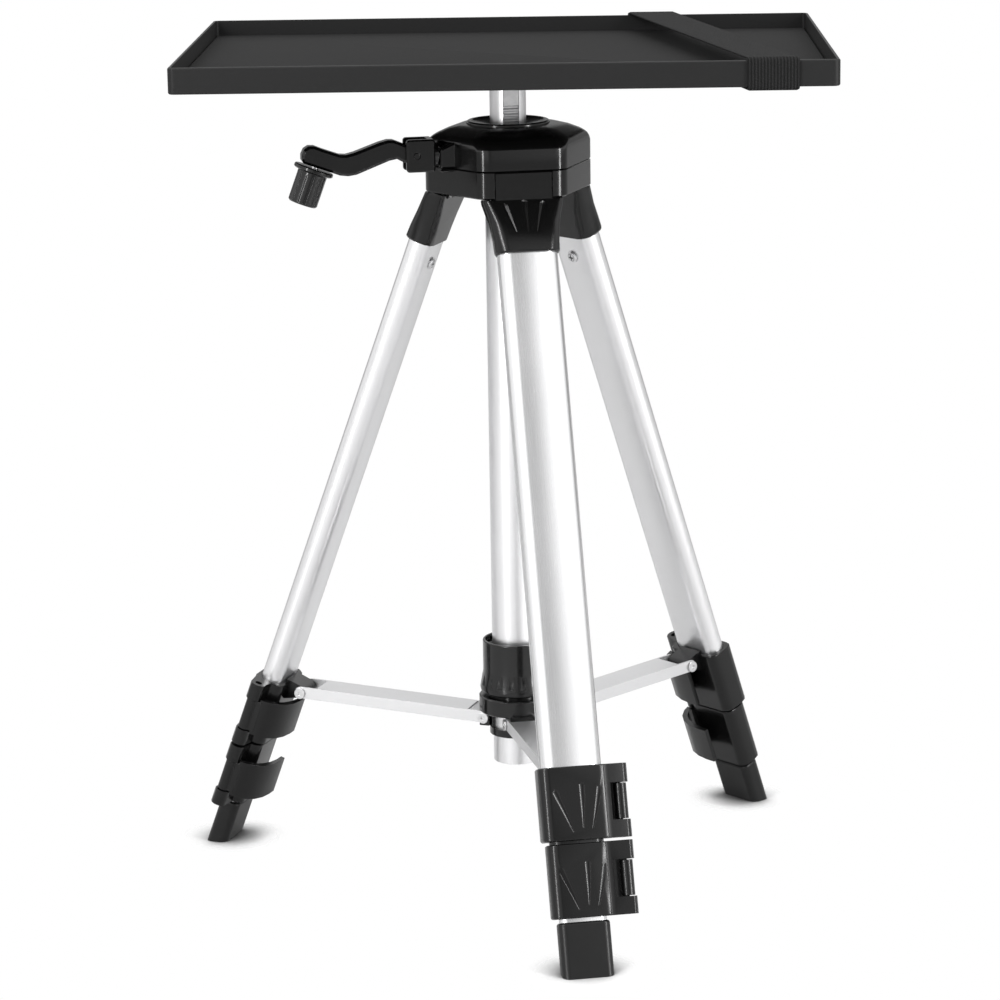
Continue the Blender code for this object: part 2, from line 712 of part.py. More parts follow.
def rack_strip():
    """A strip with straight-sided teeth below and a plain face above."""
    flank = math.tan(PRESSURE_ANGLE)
    half_tooth = (PITCH - BACKLASH) / 4
    tip_half = half_tooth - ADDENDUM * flank
    root_half = half_tooth + DEDENDUM * flank
    back = RACK_ROOT - RACK_BACK
    points = [(back, RACK_FOOT), (RACK_ROOT, RACK_FOOT)]
    first = math.ceil((RACK_FOOT + PITCH - CRANK_Z) / PITCH)
    last = math.floor((RACK_LAST_TOOTH - CRANK_Z) / PITCH)
    for i in range(first, last):
        middle = CRANK_Z + (i + 0.5) * PITCH
        points.append((RACK_ROOT, middle - root_half))
        points.append((RACK_TIP, middle - tip_half))
        points.append((RACK_TIP, middle + tip_half))
        points.append((RACK_ROOT, middle + root_half))
    points.append((RACK_ROOT, CRANK_Z + (last + 0.5) * PITCH - root_half))
    points.append((RACK_TIP, CRANK_Z + (last + 0.5) * PITCH - tip_half))
    points.append((RACK_TIP, COLUMN_TOP - SEAT))
    points.append((back, COLUMN_TOP - SEAT))
    return side_prism("rack", [points], RACK_WIDTH / 2)


def pinion_outline():
    """Involute teeth, with one of them pointing at the rack."""
    base_r = PINION_R * math.cos(PRESSURE_ANGLE)
    half_pitch = (PITCH - BACKLASH) / 4 / PINION_R
    spread = math.tan(PRESSURE_ANGLE) - PRESSURE_ANGLE
    flank = [(PINION_R - DEDENDUM, half_pitch + spread)]
    for i in range(3):
        radius = base_r + (PINION_R + ADDENDUM - base_r) * i / 2
        turn = math.acos(min(1, base_r / radius))
        flank.append((radius, half_pitch + spread - math.tan(turn) + turn))
    points = []
    for tooth in range(PINION_TEETH):
        middle = math.pi + tooth * 2 * math.pi / PINION_TEETH
        for radius, half in flank:
            points.append((radius * math.cos(middle - half), radius * math.sin(middle - half)))
        for radius, half in reversed(flank):
            points.append((radius * math.cos(middle + half), radius * math.sin(middle + half)))
    return points


# Crank: shaft and pinion, fork block, folding arm and turning knob
def along_shaft(name, outline, half):
    """Extrudes an outline of (distance from the column, height) points to both sides of the crank's plane."""
    item = side_prism(name, [outline], half)
    item.data.transform(turn_z(-math.pi / 2))
    return item


def build_crank(crank, arm, knob):
    centre = Matrix.Translation((CRANK_R, 0, CRANK_Z))
    shaft = rod("pinion_shaft", SHAFT_R, (0, SHAFT_INNER, 0), (0, -(FORK_FLOOR - 1.6 * MM), 0))
    pinion = side_prism("pinion", [pinion_outline()], PINION_WIDTH / 2)
    crank.join(shaft, pinion, frame=CROWN @ centre)
    crank.add(shaft, "steel", frame=CROWN @ centre)

    half = BLOCK_HEIGHT / 2
    outline = rounded_box(BLOCK_START, BLOCK_END, -half, half, BLOCK_CORNER)
    block = round_edges(along_shaft("crank_block", outline, BLOCK_HALF), 1.0 * MM)
    shoulder_ends = (0, -(BOSS_END + RUN), 0), (0, -(BLOCK_START + 2 * MM), 0)
    shoulder = rod("shoulder", SHOULDER_R, *shoulder_ends, steps=20)
    crank.join(block, shoulder, frame=CROWN @ centre)
    slot_half = ARM_THICK / 2 + SEAT
    crank.cut(
        block,
        box("fork_slot", (-slot_half, slot_half), (-80 * MM, -FORK_FLOOR), (-20 * MM, 20 * MM)),
        rod("shaft_socket", SHAFT_R + SEAT, (0, -40 * MM, 0), (0, -(FORK_FLOOR - 1.3 * MM), 0)),
        rod("pin_bore", FOLD_PIN_R + SEAT, (-20 * MM, -FOLD_PIN_AT, 0), (20 * MM, -FOLD_PIN_AT, 0)),
        frame=CROWN @ centre,
    )
    crank.add(block, "black_plastic", frame=CROWN @ centre)
    reach = BLOCK_HALF - SEAT
    pin = rod("fold_pin", FOLD_PIN_R, (-reach, -FOLD_PIN_AT, 0), (reach, -FOLD_PIN_AT, 0), steps=20)
    crank.add(pin, "steel", frame=CROWN @ centre)

    at_pin = CROWN @ Matrix.Translation((CRANK_R, -FOLD_PIN_AT, CRANK_Z))
    edge = [ARM_PIN_EDGE] + ARM_LOWER_EDGE[::-1] + ARM_UPPER_EDGE[::-1]
    handle = along_shaft("crank_arm", [(x * MM, z * MM) for x, z in edge], ARM_THICK / 2)
    round_edges(handle, 1.6 * MM, segments=1, angle=50)
    at_knob = at_pin @ Matrix.Translation((0, -KNOB_AT[0] * MM, KNOB_AT[1] * MM))
    bolt_frame = at_knob @ Matrix.Rotation(-KNOB_LEAN, 4, "X")
    arm.cut(handle, rod("pin_bore", FOLD_PIN_R + SEAT, (-20 * MM, 0, 0), (20 * MM, 0, 0)), frame=at_pin)
    arm.cut(handle, rod("bolt_hole", KNOB_BOLT_R + SEAT, (0, 0, -5 * MM), (0, 0, 7 * MM)), frame=bolt_frame)
    arm.add(handle, "black_plastic", frame=at_pin)

    end = -KNOB_LENGTH
    bore = KNOB_BOLT_R + SEAT
    head_room = KNOB_BOLT_HEAD_R + SEAT
    head_seat = end + KNOB_BOLT_HEAD + 1.0 * MM
    grip = [
        (bore, head_seat + SEAT),
        (bore, -SEAT),
        (KNOB_FLANGE_R - 0.6 * MM, -SEAT),
        (KNOB_FLANGE_R, -0.9 * MM),
        (KNOB_FLANGE_R, -KNOB_FLANGE + 0.6 * MM),
        (KNOB_FLANGE_R - 0.8 * MM, -KNOB_FLANGE),
        (KNOB_R, -KNOB_FLANGE - 0.6 * MM),
        (KNOB_R, end + 1.0 * MM),
        (KNOB_R - 1.0 * MM, end),
        (head_room, end),
        (head_room, head_seat + SEAT),
    ]
    grip = turned("crank_knob", grip, steps=28, hollow=True)
    groove_at = KNOB_R + KNOB_RIB_R / 2
    groove_ends = (groove_at, 0, end - 2 * MM), (groove_at, 0, -KNOB_FLANGE - 2.4 * MM)
    groove = rod("knob_groove", KNOB_RIB_R, *groove_ends, steps=6)
    knob.cut(grip, repeated(groove, KNOB_RIBS), frame=bolt_frame)
    knob.add(grip, "black_plastic", frame=bolt_frame)
    bolt = turned("knob_bolt", [
        (0, 6.5 * MM),
        (KNOB_BOLT_R, 6.5 * MM),
        (KNOB_BOLT_R, head_seat),
        (KNOB_BOLT_HEAD_R, head_seat),
        (KNOB_BOLT_HEAD_R, end + 1.2 * MM),
        (KNOB_BOLT_HEAD_R - 0.7 * MM, end + 0.6 * MM),
        (0, end + 0.6 * MM),
    ], steps=24)
    arm.add(bolt, "steel", frame=bolt_frame)


# Tray, pad, strap and the bolt that the tray turns on
def build_tray(tray):
    x, y = TRAY_WIDTH / 2, TRAY_DEPTH / 2
    pan = prism("tray", [rounded_box(-x, x, -y, y, TRAY_CORNER, 5)], TRAY_LOW, TRAY_TOP)
    round_edges(pan, 0.7 * MM)
    inner_x, inner_y = x - TRAY_WALL, y - TRAY_WALL
    hollow = rounded_box(-inner_x, inner_x, -inner_y, inner_y, TRAY_CORNER - TRAY_WALL, 4)
    tray.cut(pan, prism("tray_well", [hollow], TRAY_LOW + TRAY_WALL, TRAY_TOP + 10 * MM))
    tray.cut(pan, rod("bolt_hole", TRAY_SCREW_R + SEAT, (0, 0, TRAY_LOW - CLEAR), (0, 0, TRAY_TOP)))
    tray.add(pan, "tray_paint")

    floor = TRAY_LOW + TRAY_WALL + SEAT
    inner_x, inner_y = inner_x - 0.6 * MM, inner_y - 0.6 * MM
    sheet = rounded_box(-inner_x, inner_x, -inner_y, inner_y, TRAY_CORNER - TRAY_WALL, 3)
    foam = round_edges(prism("tray_pad", [sheet], floor, floor + PAD_THICK), 0.6 * MM)
    head_top = floor + TRAY_SCREW_HEAD
    room = rod("head_room", TRAY_SCREW_HEAD_R + SEAT, (0, 0, floor - 5 * MM), (0, 0, head_top + SEAT))
    tray.cut(foam, room)
    tray.add(foam, "foam")

    shank_end = SOCKET_TOP + SEAT
    bolt = turned("tray_bolt", [
        (0, head_top),
        (TRAY_SCREW_HEAD_R - 0.5 * MM, head_top),
        (TRAY_SCREW_HEAD_R, head_top - 0.5 * MM),
        (TRAY_SCREW_HEAD_R, floor),
        (TRAY_SCREW_R, floor),
        (TRAY_SCREW_R, shank_end),
        (0, shank_end),
    ], steps=20)
    tray.add(bolt, "steel")

    gap = SEAT + 0.1 * MM
    loop = rounded_box(-y - gap, y + gap, TRAY_LOW - gap, TRAY_TOP + gap, 1.2 * MM, 3)
    skin = gap + STRAP_THICK
    outside = rounded_box(-y - skin, y + skin, TRAY_LOW - skin, TRAY_TOP + skin, 1.2 * MM + STRAP_THICK, 3)
    slant = math.atan2(STRAP_FRONT_X - STRAP_BACK_X, TRAY_DEPTH)
    band = side_prism("strap", [outside, loop], STRAP_WIDTH / 2 / math.cos(slant))
    band.data.transform(turn_z(math.pi / 2))
    lean = Matrix()
    lean[0][1] = (STRAP_BACK_X - STRAP_FRONT_X) / TRAY_DEPTH
    band.data.transform(lean)
    band.data.transform(Matrix.Translation(((STRAP_FRONT_X + STRAP_BACK_X) / 2, 0, 0)))
    tray.add(band, "webbing")


# Spreader hub and lock ring
def build_hub(hub, ring):
    bore = OUTER_TUBE_R + HUB_BORE_GAP
    profile = [
        (bore, HUB_RING_LOW),
        (bore, HUB_NECK_TOP),
        (HUB_NECK_R, HUB_NECK_TOP),
        (HUB_NECK_R, HUB_DISC_TOP),
        (HUB_DISC_R - 0.8 * MM, HUB_DISC_TOP),
        (HUB_DISC_R, HUB_DISC_TOP - 0.8 * MM),
        (HUB_DISC_R, HUB_DISC_LOW + 0.6 * MM),
        (HUB_DISC_R - 0.6 * MM, HUB_DISC_LOW),
        (HUB_CORE_R, HUB_DISC_LOW),
        (HUB_CORE_R, HUB_RING_TOP),
        (HUB_RING_R, HUB_RING_TOP),
        (HUB_RING_R, HUB_RING_LOW),
    ]
    core = turned("hub", profile, steps=24, hollow=True)
    for azimuth in LEG_AZIMUTHS:
        low, high = HUB_RING_TOP - 0.2 * MM, HUB_DISC_LOW + 0.4 * MM
        nose = rounded_box(HUB_CORE_R - 1 * MM, HUB_LUG_OUT, low, high, 0.2 * MM, 1)
        lug = side_prism("hub_lug", [nose], HUB_LUG_HALF)
        hub.join(core, lug, frame=upright(azimuth))
    for azimuth in LEG_AZIMUTHS:
        at_pin = upright(azimuth, HUB_PIN_R, HUB_PIN_Z)
        rivet_way = rod("rivet_bore", RIVET_R + SEAT, (0, -20 * MM, 0), (0, 20 * MM, 0), steps=12)
        hub.cut(core, rivet_way, frame=at_pin)
        width = (-HUB_WINDOW_HALF, HUB_WINDOW_HALF)
        window = box("window", (10 * MM, 30 * MM), width, (HUB_RING_TOP, HUB_DISC_LOW))
        hub.cut(core, window, frame=upright(azimuth + math.pi / 3))
    hub.cut(core, rod("tube_way", bore, (0, 0, 80 * MM), (0, 0, 150 * MM), steps=24))
    hub.add(core, "black_plastic")
    for name, azimuth in zip(LEG_NAMES, LEG_AZIMUTHS):
        frame = upright(azimuth, HUB_PIN_R, HUB_PIN_Z) @ Matrix.Rotation(math.pi / 2, 4, "X")
        hub.add(rivet(name + "_hub_rivet"), "steel", frame=frame)

    bore = HUB_NECK_R + SEAT
    nut = turned("lock_ring", [
        (bore, LOCK_LOW),
        (bore, HUB_NECK_TOP + 1.5 * MM),
        (LOCK_MOUTH_R, HUB_NECK_TOP + 3 * MM),
        (LOCK_MOUTH_R, LOCK_TOP),
        (LOCK_TOP_R - 0.5 * MM, LOCK_TOP),
        (LOCK_TOP_R, LOCK_TOP - 0.5 * MM),
        (LOCK_TOP_R, LOCK_LOW + 14 * MM),
        (LOCK_FLARE_R, LOCK_LOW + 3.2 * MM),
        (LOCK_FLARE_R - 0.4 * MM, LOCK_LOW + 1.0 * MM),
        (LOCK_FLARE_R - 2.2 * MM, LOCK_LOW),
    ], steps=36, hollow=True)
    depth = LOCK_TOP_R + 1.4 * MM
    low, high = (depth + 1.0 * MM, 0, LOCK_LOW + 5.5 * MM), (depth - 0.4 * MM, 0, LOCK_LOW + 17 * MM)
    flute = rod("lock_flute", 2.1 * MM, low, high, steps=8, end_radius=1.0 * MM)
    ring.cut(nut, repeated(flute, LOCK_FLUTES))
    ring.add(nut, "black_plastic")


def rivet(name):
    """A tubular rivet with a ring-shaped head at each end, along Z."""
    end = BRACE_WIDTH / 2 + SEAT + RIVET_HEAD
    under = BRACE_WIDTH / 2 + SEAT
    dent_r = RIVET_R * 0.62
    dent = 0.9 * MM
    half = [
        (0, end - dent),
        (dent_r, end - dent),
        (dent_r, end),
        (RIVET_HEAD_R, end),
        (RIVET_HEAD_R, under),
        (RIVET_R, under),
    ]
    return turned(name, half + [(r, -z) for r, z in reversed(half)], steps=14)


# Braces: inverted channels with rounded ears
def brace_frame(azimuth):
    """A brace's frame at its hub rivet, with +X toward its leg rivet."""
    hub_end = upright(azimuth, HUB_PIN_R, HUB_PIN_Z)
    leg_end = leg_frame(azimuth) @ Vector((-LEG_PIN_IN, 0, -LEG_PIN_AT))
    along = hub_end.inverted() @ leg_end
    rise = math.atan2(along.z, along.x)
    return hub_end @ Matrix.Rotation(-rise, 4, "Y"), along.length


def build_brace(brace, name, azimuth):
    frame, length = brace_frame(azimuth)
    radius = (BRACE_ABOVE + BRACE_BELOW) / 2 - 0.3 * MM
    outline = rounded_box(-radius, length + radius, -BRACE_BELOW, BRACE_ABOVE, radius, 4)
    channel = side_prism(name + "_brace", [outline], BRACE_WIDTH / 2)
    inner = BRACE_WIDTH / 2 - BRACE_WALL
    for at in (0, length):
        brace.cut(channel, rod("rivet_bore", RIVET_R + SEAT, (at, -20 * MM, 0), (at, 20 * MM, 0), steps=10))
    brace.cut(
        channel,
        box("channel", (-20 * MM, length + 20 * MM), (-inner, inner), (-20 * MM, BRACE_ABOVE - BRACE_WALL)),
        box("hub_mouth", (-20 * MM, BRACE_WEB_BACK), (-inner, inner), (0, 20 * MM)),
        box("leg_mouth", (length - BRACE_WEB_BACK, length + 20 * MM), (-inner, inner), (0, 20 * MM)),
    )
    brace.add(channel, "anodised")


# Legs
def leg_tube(name, width, depth, top, bottom):
    """A flattened tube down the leg from top to bottom."""
    inside = flat_oval(width - 2 * TUBE_WALL, depth - 2 * TUBE_WALL)
    return prism(name, [flat_oval(width, depth), inside], -bottom, -top)


def flute_set(body, target, flutes, top, surface):
    """Cuts tapered grooves into an outer face; surface gives how far out the face lies at a distance down."""
    for (s0, t0), (s1, t1) in flutes:
        start = Vector((surface(s0 * MM) + FLUTE_R - FLUTE_SINK, t0 * MM, -top - s0 * MM))
        end = Vector((surface(s1 * MM) + FLUTE_TIP_R - FLUTE_SINK * 0.3, t1 * MM, -top - s1 * MM))
        aim = Vector((0, 0, -1)).rotation_difference(end - start).to_matrix().to_4x4()
        cutter = teardrop("flute", (end - start).length, FLUTE_R, FLUTE_TIP_R)
        body.cut(target, cutter, frame=body.frame @ Matrix.Translation(start) @ aim)


def shroud_face(down):
    """How far out the front of a shroud lies at a distance down the leg."""
    rings = SHROUD_RINGS[::-1]
    for above, below in zip(rings, rings[1:]):
        if down <= below[0] * MM:
            share = (down / MM - above[0]) / (below[0] - above[0])
            return (above[1] + share * (below[1] - above[1])) * MM
    return rings[-1][1] * MM


def shroud_ring(down, out, beyond, radius):
    """One level of a shroud; beyond is how far its sides stand outside the tube's."""
    back = TUBE_DEPTH / 2 + SHROUD_WALL
    half = TUBE_WIDTH / 2 + beyond * MM
    outline = rounded_box(-back, out * MM, -half, half, radius * MM, 3)
    return [(x, y, -down * MM) for x, y in outline]


def build_bracket(leg, name, azimuth):
    bracket = loft(name + "_bracket", [shroud_ring(*ring) for ring in SHROUD_RINGS])
    at_axis = upright(azimuth)
    fold_gap = (PIVOT_Z - CROWN_LOW) + (LEG_PIVOT_Z - PIVOT_Z) / math.cos(LEG_LEAN) + RUN
    level_top = box("level_top", (0, 90 * MM), (-40 * MM, 40 * MM), (SHROUD_TOP, 480 * MM))
    leg.cut(bracket, level_top, frame=at_axis)
    leg.cut(bracket, box("square_top", (-40 * MM, 40 * MM), (-40 * MM, 40 * MM), (-fold_gap, 40 * MM)))
    tongue = side_prism("tongue", [[
        (TONGUE_BACK_R, SHROUD_TOP - 4 * MM),
        (TONGUE_FACE_R - 6 * MM, SHROUD_TOP - 6 * MM),
        (TONGUE_FACE_R, SHROUD_TOP - 0.5 * MM),
        (TONGUE_FACE_R, TONGUE_TOP - 0.6 * MM),
        (TONGUE_FACE_R - 0.6 * MM, TONGUE_TOP),
        (PIVOT_R, TONGUE_TOP),
        (TONGUE_BACK_R, TONGUE_TOP - 3.4 * MM),
    ]], NOTCH_HALF - 2 * SEAT)
    leg.join(bracket, tongue, frame=at_axis)
    pocket_top = -(UPPER_TUBE_TOP - SEAT)
    pocket = flat_oval(TUBE_WIDTH + 2 * SEAT, TUBE_DEPTH + 2 * SEAT)
    leg.cut(bracket, prism("tube_pocket", [pocket], -80 * MM, pocket_top))
    narrow = 2 * (TUBE_WALL + SEAT)
    core = flat_oval(TUBE_WIDTH - narrow, TUBE_DEPTH - narrow)
    plug = prism("plug", [core], -PLUG_END, pocket_top + 2 * MM)
    leg.join(bracket, plug)
    face = TUBE_DEPTH / 2 + SEAT
    seat, top = (-face, 0, -SCREW_AT), (-face - SCREW_HEAD, 0, -SCREW_AT)
    leg.join(
        bracket,
        rod("screw_shank", SCREW_R, (-face - 0.5 * MM, 0, -SCREW_AT), (0, 0, -SCREW_AT), steps=10),
        rod("screw_head", SCREW_HEAD_R, seat, top, steps=14, end_radius=2.6 * MM),
    )
    flute_set(leg, bracket, SHROUD_FLUTES, 0.0, shroud_face)
    reach = Vector((PIVOT_R, 0, PIVOT_Z))
    across = Vector((0, 30 * MM, 0))
    bore = rod("pivot_bore", PIVOT_PIN_R + SEAT, reach - across, reach + across, steps=12)
    leg.cut(bracket, bore, frame=at_axis)
    leg.add(bracket, "black_plastic")
    across = Vector((0, NOTCH_HALF - SEAT, 0))
    pin = rod(name + "_pivot_pin", PIVOT_PIN_R, reach - across, reach + across, steps=12)
    leg.add(pin, "steel", frame=at_axis)


def build_clamp(body, name, top, outer_width, outer_depth, with_lug):
    """A collar on the lower end of a tube, with the hinge side of its lever and a sliding fit below."""
    half = outer_width / 2 + CLAMP_SIDE
    face = outer_depth / 2 + CLAMP_FACE
    plan = rounded_box(-face, face, -half, half, CLAMP_CORNER, 3)
    collar = prism(name, [plan], -top - CLAMP_HEIGHT, -top)
    round_edges(collar, 0.9 * MM)
    wing = [
        (-2.6 * MM, half - 4 * MM),
        (face - 0.7 * MM, half - 9 * MM),
        (face - 1.6 * MM, half),
        *arc((HINGE_OUT, HINGE_TAN), KNUCKLE_R, 20, 200, 6),
        (-2.6 * MM, half + 1 * MM),
    ]
    knuckle = prism("knuckle", [wing], -top - CLAMP_HEIGHT, -top)
    body.join(collar, knuckle)
    if with_lug:
        lug = side_prism("brace_lug", [[
            (-face + 2 * MM, -top - 16 * MM),
            (-face + 2 * MM, -top + 2.0 * MM),
            (-face - 3 * MM, -top + 2.1 * MM),
            *arc((-LEG_PIN_IN, -LEG_PIN_AT), LUG_TIP - LEG_PIN_IN, 90, 240, 5),
            (-face, -top - 11 * MM),
        ]], LUG_HALF)
        body.join(collar, lug)
        ends = [(-LEG_PIN_IN, across, -LEG_PIN_AT) for across in (-20 * MM, 20 * MM)]
        body.cut(collar, rod("rivet_bore", RIVET_R + SEAT, *ends, steps=12))
    fit = 2 * SEAT
    seat = flat_oval(outer_width + fit, outer_depth + fit)
    slide = flat_oval(outer_width - TUBE_STEP_WIDTH + fit, outer_depth - TUBE_STEP_DEPTH + fit)
    opening = (-top - WINDOW_BOTTOM, -top - WINDOW_TOP)
    body.cut(
        collar,
        prism("tube_seat", [seat], -top - CLAMP_GRIP - SEAT, -top + 10 * MM),
        prism("tube_slide", [slide], -top - CLAMP_HEIGHT - 10 * MM, -top),
        box("window", (-20 * MM, 20 * MM), (half + 0.6 * MM, HINGE_TAN + 20 * MM), opening),
    )
    pin_way = rod(
        "pin_bore",
        LEVER_PIN_R + SEAT,
        (HINGE_OUT, HINGE_TAN, -top - CLAMP_HEIGHT - 5 * MM),
        (HINGE_OUT, HINGE_TAN, -top + 5 * MM),
        steps=12,
    )
    body.cut(collar, pin_way)
    flute_set(body, collar, CLAMP_FLUTES, top, lambda s: face)
    body.add(collar, "black_plastic")


def build_lever(lever, name, top):
    """A lever with its own pin; closed, it wraps round to the inner side of its clamp."""
    middle = -top - (WINDOW_TOP + WINDOW_BOTTOM) / 2
    room = (WINDOW_BOTTOM - WINDOW_TOP) / 2 - RUN
    centre = (HINGE_OUT, HINGE_TAN)
    low, high = -top - CLAMP_HEIGHT + 0.4 * MM, -top - 0.4 * MM
    pin = rod(name, LEVER_PIN_R, (*centre, low), (*centre, high), steps=12)
    barrel = rod("barrel", LEVER_BARREL_R, (*centre, middle - room), (*centre, middle + room), steps=16)
    outline = [(x * MM, HINGE_TAN + y * MM) for x, y in LEVER_OUTER + LEVER_INNER]
    blade = prism("blade", [outline], middle - LEVER_HEIGHT / 2, middle + LEVER_HEIGHT / 2)
    beside = (HINGE_TAN - 7.8 * MM, HINGE_TAN + 12.2 * MM)
    trim = box("trim", (-1.6 * MM, 20 * MM), beside, (middle + room, middle + 30 * MM))
    trim_low = box("trim", (-1.6 * MM, 20 * MM), beside, (middle - 30 * MM, middle - room))
    width = (HINGE_TAN - 2.6 * MM, HINGE_TAN + 1.8 * MM)
    neck = box("neck", (-4 * MM, HINGE_OUT), width, (middle - room, middle + room))
    lever.join(pin, barrel, neck, blade)
    lever.cut(pin, trim, trim_low)
    lever.add(pin, "black_plastic")


def build_foot(body, name):
    sole = -(LEG_PIVOT_Z / math.cos(LEG_LEAN)) - 20 * MM
    foot = prism(name, [foot_outline()], sole, -FOOT_AT)
    round_edges(foot, FOOT_EDGE, segments=3)
    body.cut(foot, box("floor", (-1, 1), (-1, 1), (-0.1, 0)), frame=ROOT)
    socket = flat_oval(LOWER_WIDTH + 2 * SEAT, LOWER_DEPTH + 2 * SEAT)
    body.cut(foot, prism("tube_socket", [socket], -FOOT_AT - FOOT_SOCKET - SEAT, -FOOT_AT + 10 * MM))
    body.add(foot, "foot_rubber")


PIVOT_R = LEG_PIVOT_R + (LEG_PIVOT_Z - PIVOT_Z) * math.tan(LEG_LEAN)


def build_stand():
    stand = Body("stand", frame=CROWN)
    build_crown(stand)
    column = Body("column_slide", stand, CROWN)
    build_column(column)
    tray = Body("tray_turn", column, ROOT)
    build_tray(tray)
    at_shaft = (CRANK_R, 0, CRANK_Z)
    crank = Body("crank_turn", stand, CROWN, at_shaft)
    arm = Body("arm_fold", crank, CROWN, (CRANK_R, -FOLD_PIN_AT, CRANK_Z))
    knob_at = (CRANK_R, -FOLD_PIN_AT - KNOB_AT[0] * MM, CRANK_Z + KNOB_AT[1] * MM)
    knob = Body("knob_turn", arm, CROWN, knob_at)
    build_crank(crank, arm, knob)
    hub = Body("hub_slide", stand, CROWN)
    ring = Body("lock_ring_turn", hub, CROWN)
    build_hub(hub, ring)
    for name, azimuth in zip(LEG_NAMES, LEG_AZIMUTHS):
        frame, length = brace_frame(azimuth)
        brace = Body(name + "_brace_turn", hub, frame)
        build_brace(brace, name, azimuth)
        own = leg_frame(azimuth)
        leg = Body(name + "_leg_turn", brace, own, (-LEG_PIN_IN, 0, -LEG_PIN_AT))
        build_bracket(leg, name, azimuth)
        low_end = UPPER_CLAMP_AT + CLAMP_GRIP
        upper = leg_tube(name + "_upper_tube", TUBE_WIDTH, TUBE_DEPTH, UPPER_TUBE_TOP, low_end)
        screw_way = rod("screw_hole", SCREW_R + SEAT, (-20 * MM, 0, -SCREW_AT), (0, 0, -SCREW_AT), steps=12)
        leg.cut(upper, screw_way)
        leg.add(upper, "anodised")
        build_clamp(leg, name + "_upper_clamp", UPPER_CLAMP_AT, TUBE_WIDTH, TUBE_DEPTH, True)
        at_rivet = own @ Matrix.Translation((-LEG_PIN_IN, 0, -LEG_PIN_AT))
        leg.add(rivet(name + "_leg_rivet"), "steel", frame=at_rivet @ Matrix.Rotation(math.pi / 2, 4, "X"))
        hinge = (HINGE_OUT, HINGE_TAN)
        upper_lever = Body(name + "_upper_lever_turn", leg, own, (*hinge, -UPPER_CLAMP_AT))
        build_lever(upper_lever, name + "_upper_lever", UPPER_CLAMP_AT)
        middle = Body(name + "_middle_slide", leg, own)
        low_end = LOWER_CLAMP_AT + CLAMP_GRIP
        tube = leg_tube(name + "_middle_tube", MIDDLE_WIDTH, MIDDLE_DEPTH, MIDDLE_TUBE_TOP, low_end)
        middle.add(tube, "anodised")
        build_clamp(middle, name + "_lower_clamp", LOWER_CLAMP_AT, MIDDLE_WIDTH, MIDDLE_DEPTH, False)
        lower_lever = Body(name + "_lower_lever_turn", middle, own, (*hinge, -LOWER_CLAMP_AT))
        build_lever(lower_lever, name + "_lower_lever", LOWER_CLAMP_AT)
        lower = Body(name + "_lower_slide", middle, own)
        low_end = FOOT_AT + FOOT_SOCKET
        tube = leg_tube(name + "_lower_tube", LOWER_WIDTH, LOWER_DEPTH, LOWER_TUBE_TOP, low_end)
        lower.add(tube, "anodised")
        build_foot(lower, name + "_foot")


build_stand()
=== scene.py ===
"""Projector stand: camera, finishes, pad, strap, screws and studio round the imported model."""
import json
import math

import bmesh
import bpy
from mathutils import Matrix, Vector


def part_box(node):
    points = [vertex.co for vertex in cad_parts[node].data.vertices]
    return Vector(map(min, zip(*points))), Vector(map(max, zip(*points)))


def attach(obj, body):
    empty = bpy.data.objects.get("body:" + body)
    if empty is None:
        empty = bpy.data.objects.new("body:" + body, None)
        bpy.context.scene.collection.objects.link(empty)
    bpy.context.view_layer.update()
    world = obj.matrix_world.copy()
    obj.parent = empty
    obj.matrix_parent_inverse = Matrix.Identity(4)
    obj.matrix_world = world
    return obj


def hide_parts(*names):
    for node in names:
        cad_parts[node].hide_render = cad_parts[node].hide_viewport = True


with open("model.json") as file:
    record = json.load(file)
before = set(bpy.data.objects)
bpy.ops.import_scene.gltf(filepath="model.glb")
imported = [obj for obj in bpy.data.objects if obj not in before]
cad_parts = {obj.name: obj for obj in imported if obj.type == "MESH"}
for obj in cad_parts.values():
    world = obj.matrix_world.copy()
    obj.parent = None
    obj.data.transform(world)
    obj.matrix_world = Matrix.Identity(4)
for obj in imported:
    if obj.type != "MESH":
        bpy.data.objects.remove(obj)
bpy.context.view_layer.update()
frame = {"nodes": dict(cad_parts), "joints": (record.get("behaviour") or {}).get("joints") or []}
NODES = frame["nodes"]
JOINTS = {joint["name"]: joint for joint in frame["joints"]}
MM = 0.001
LEGS = ("front", "right", "left")


# Camera: its eye from the column's axis and the floor in metres, its angles in degrees
EYE_RIGHT, EYE_BACK, EYE_HEIGHT = 0.0362, 2.1517, 0.7382
CAMERA_YAW, CAMERA_PITCH, CAMERA_ROLL = -1.203, -13.124, -0.90
SENSOR = 36
FOCAL_RATIO = 3.5703
SHIFT_X = 0.0009


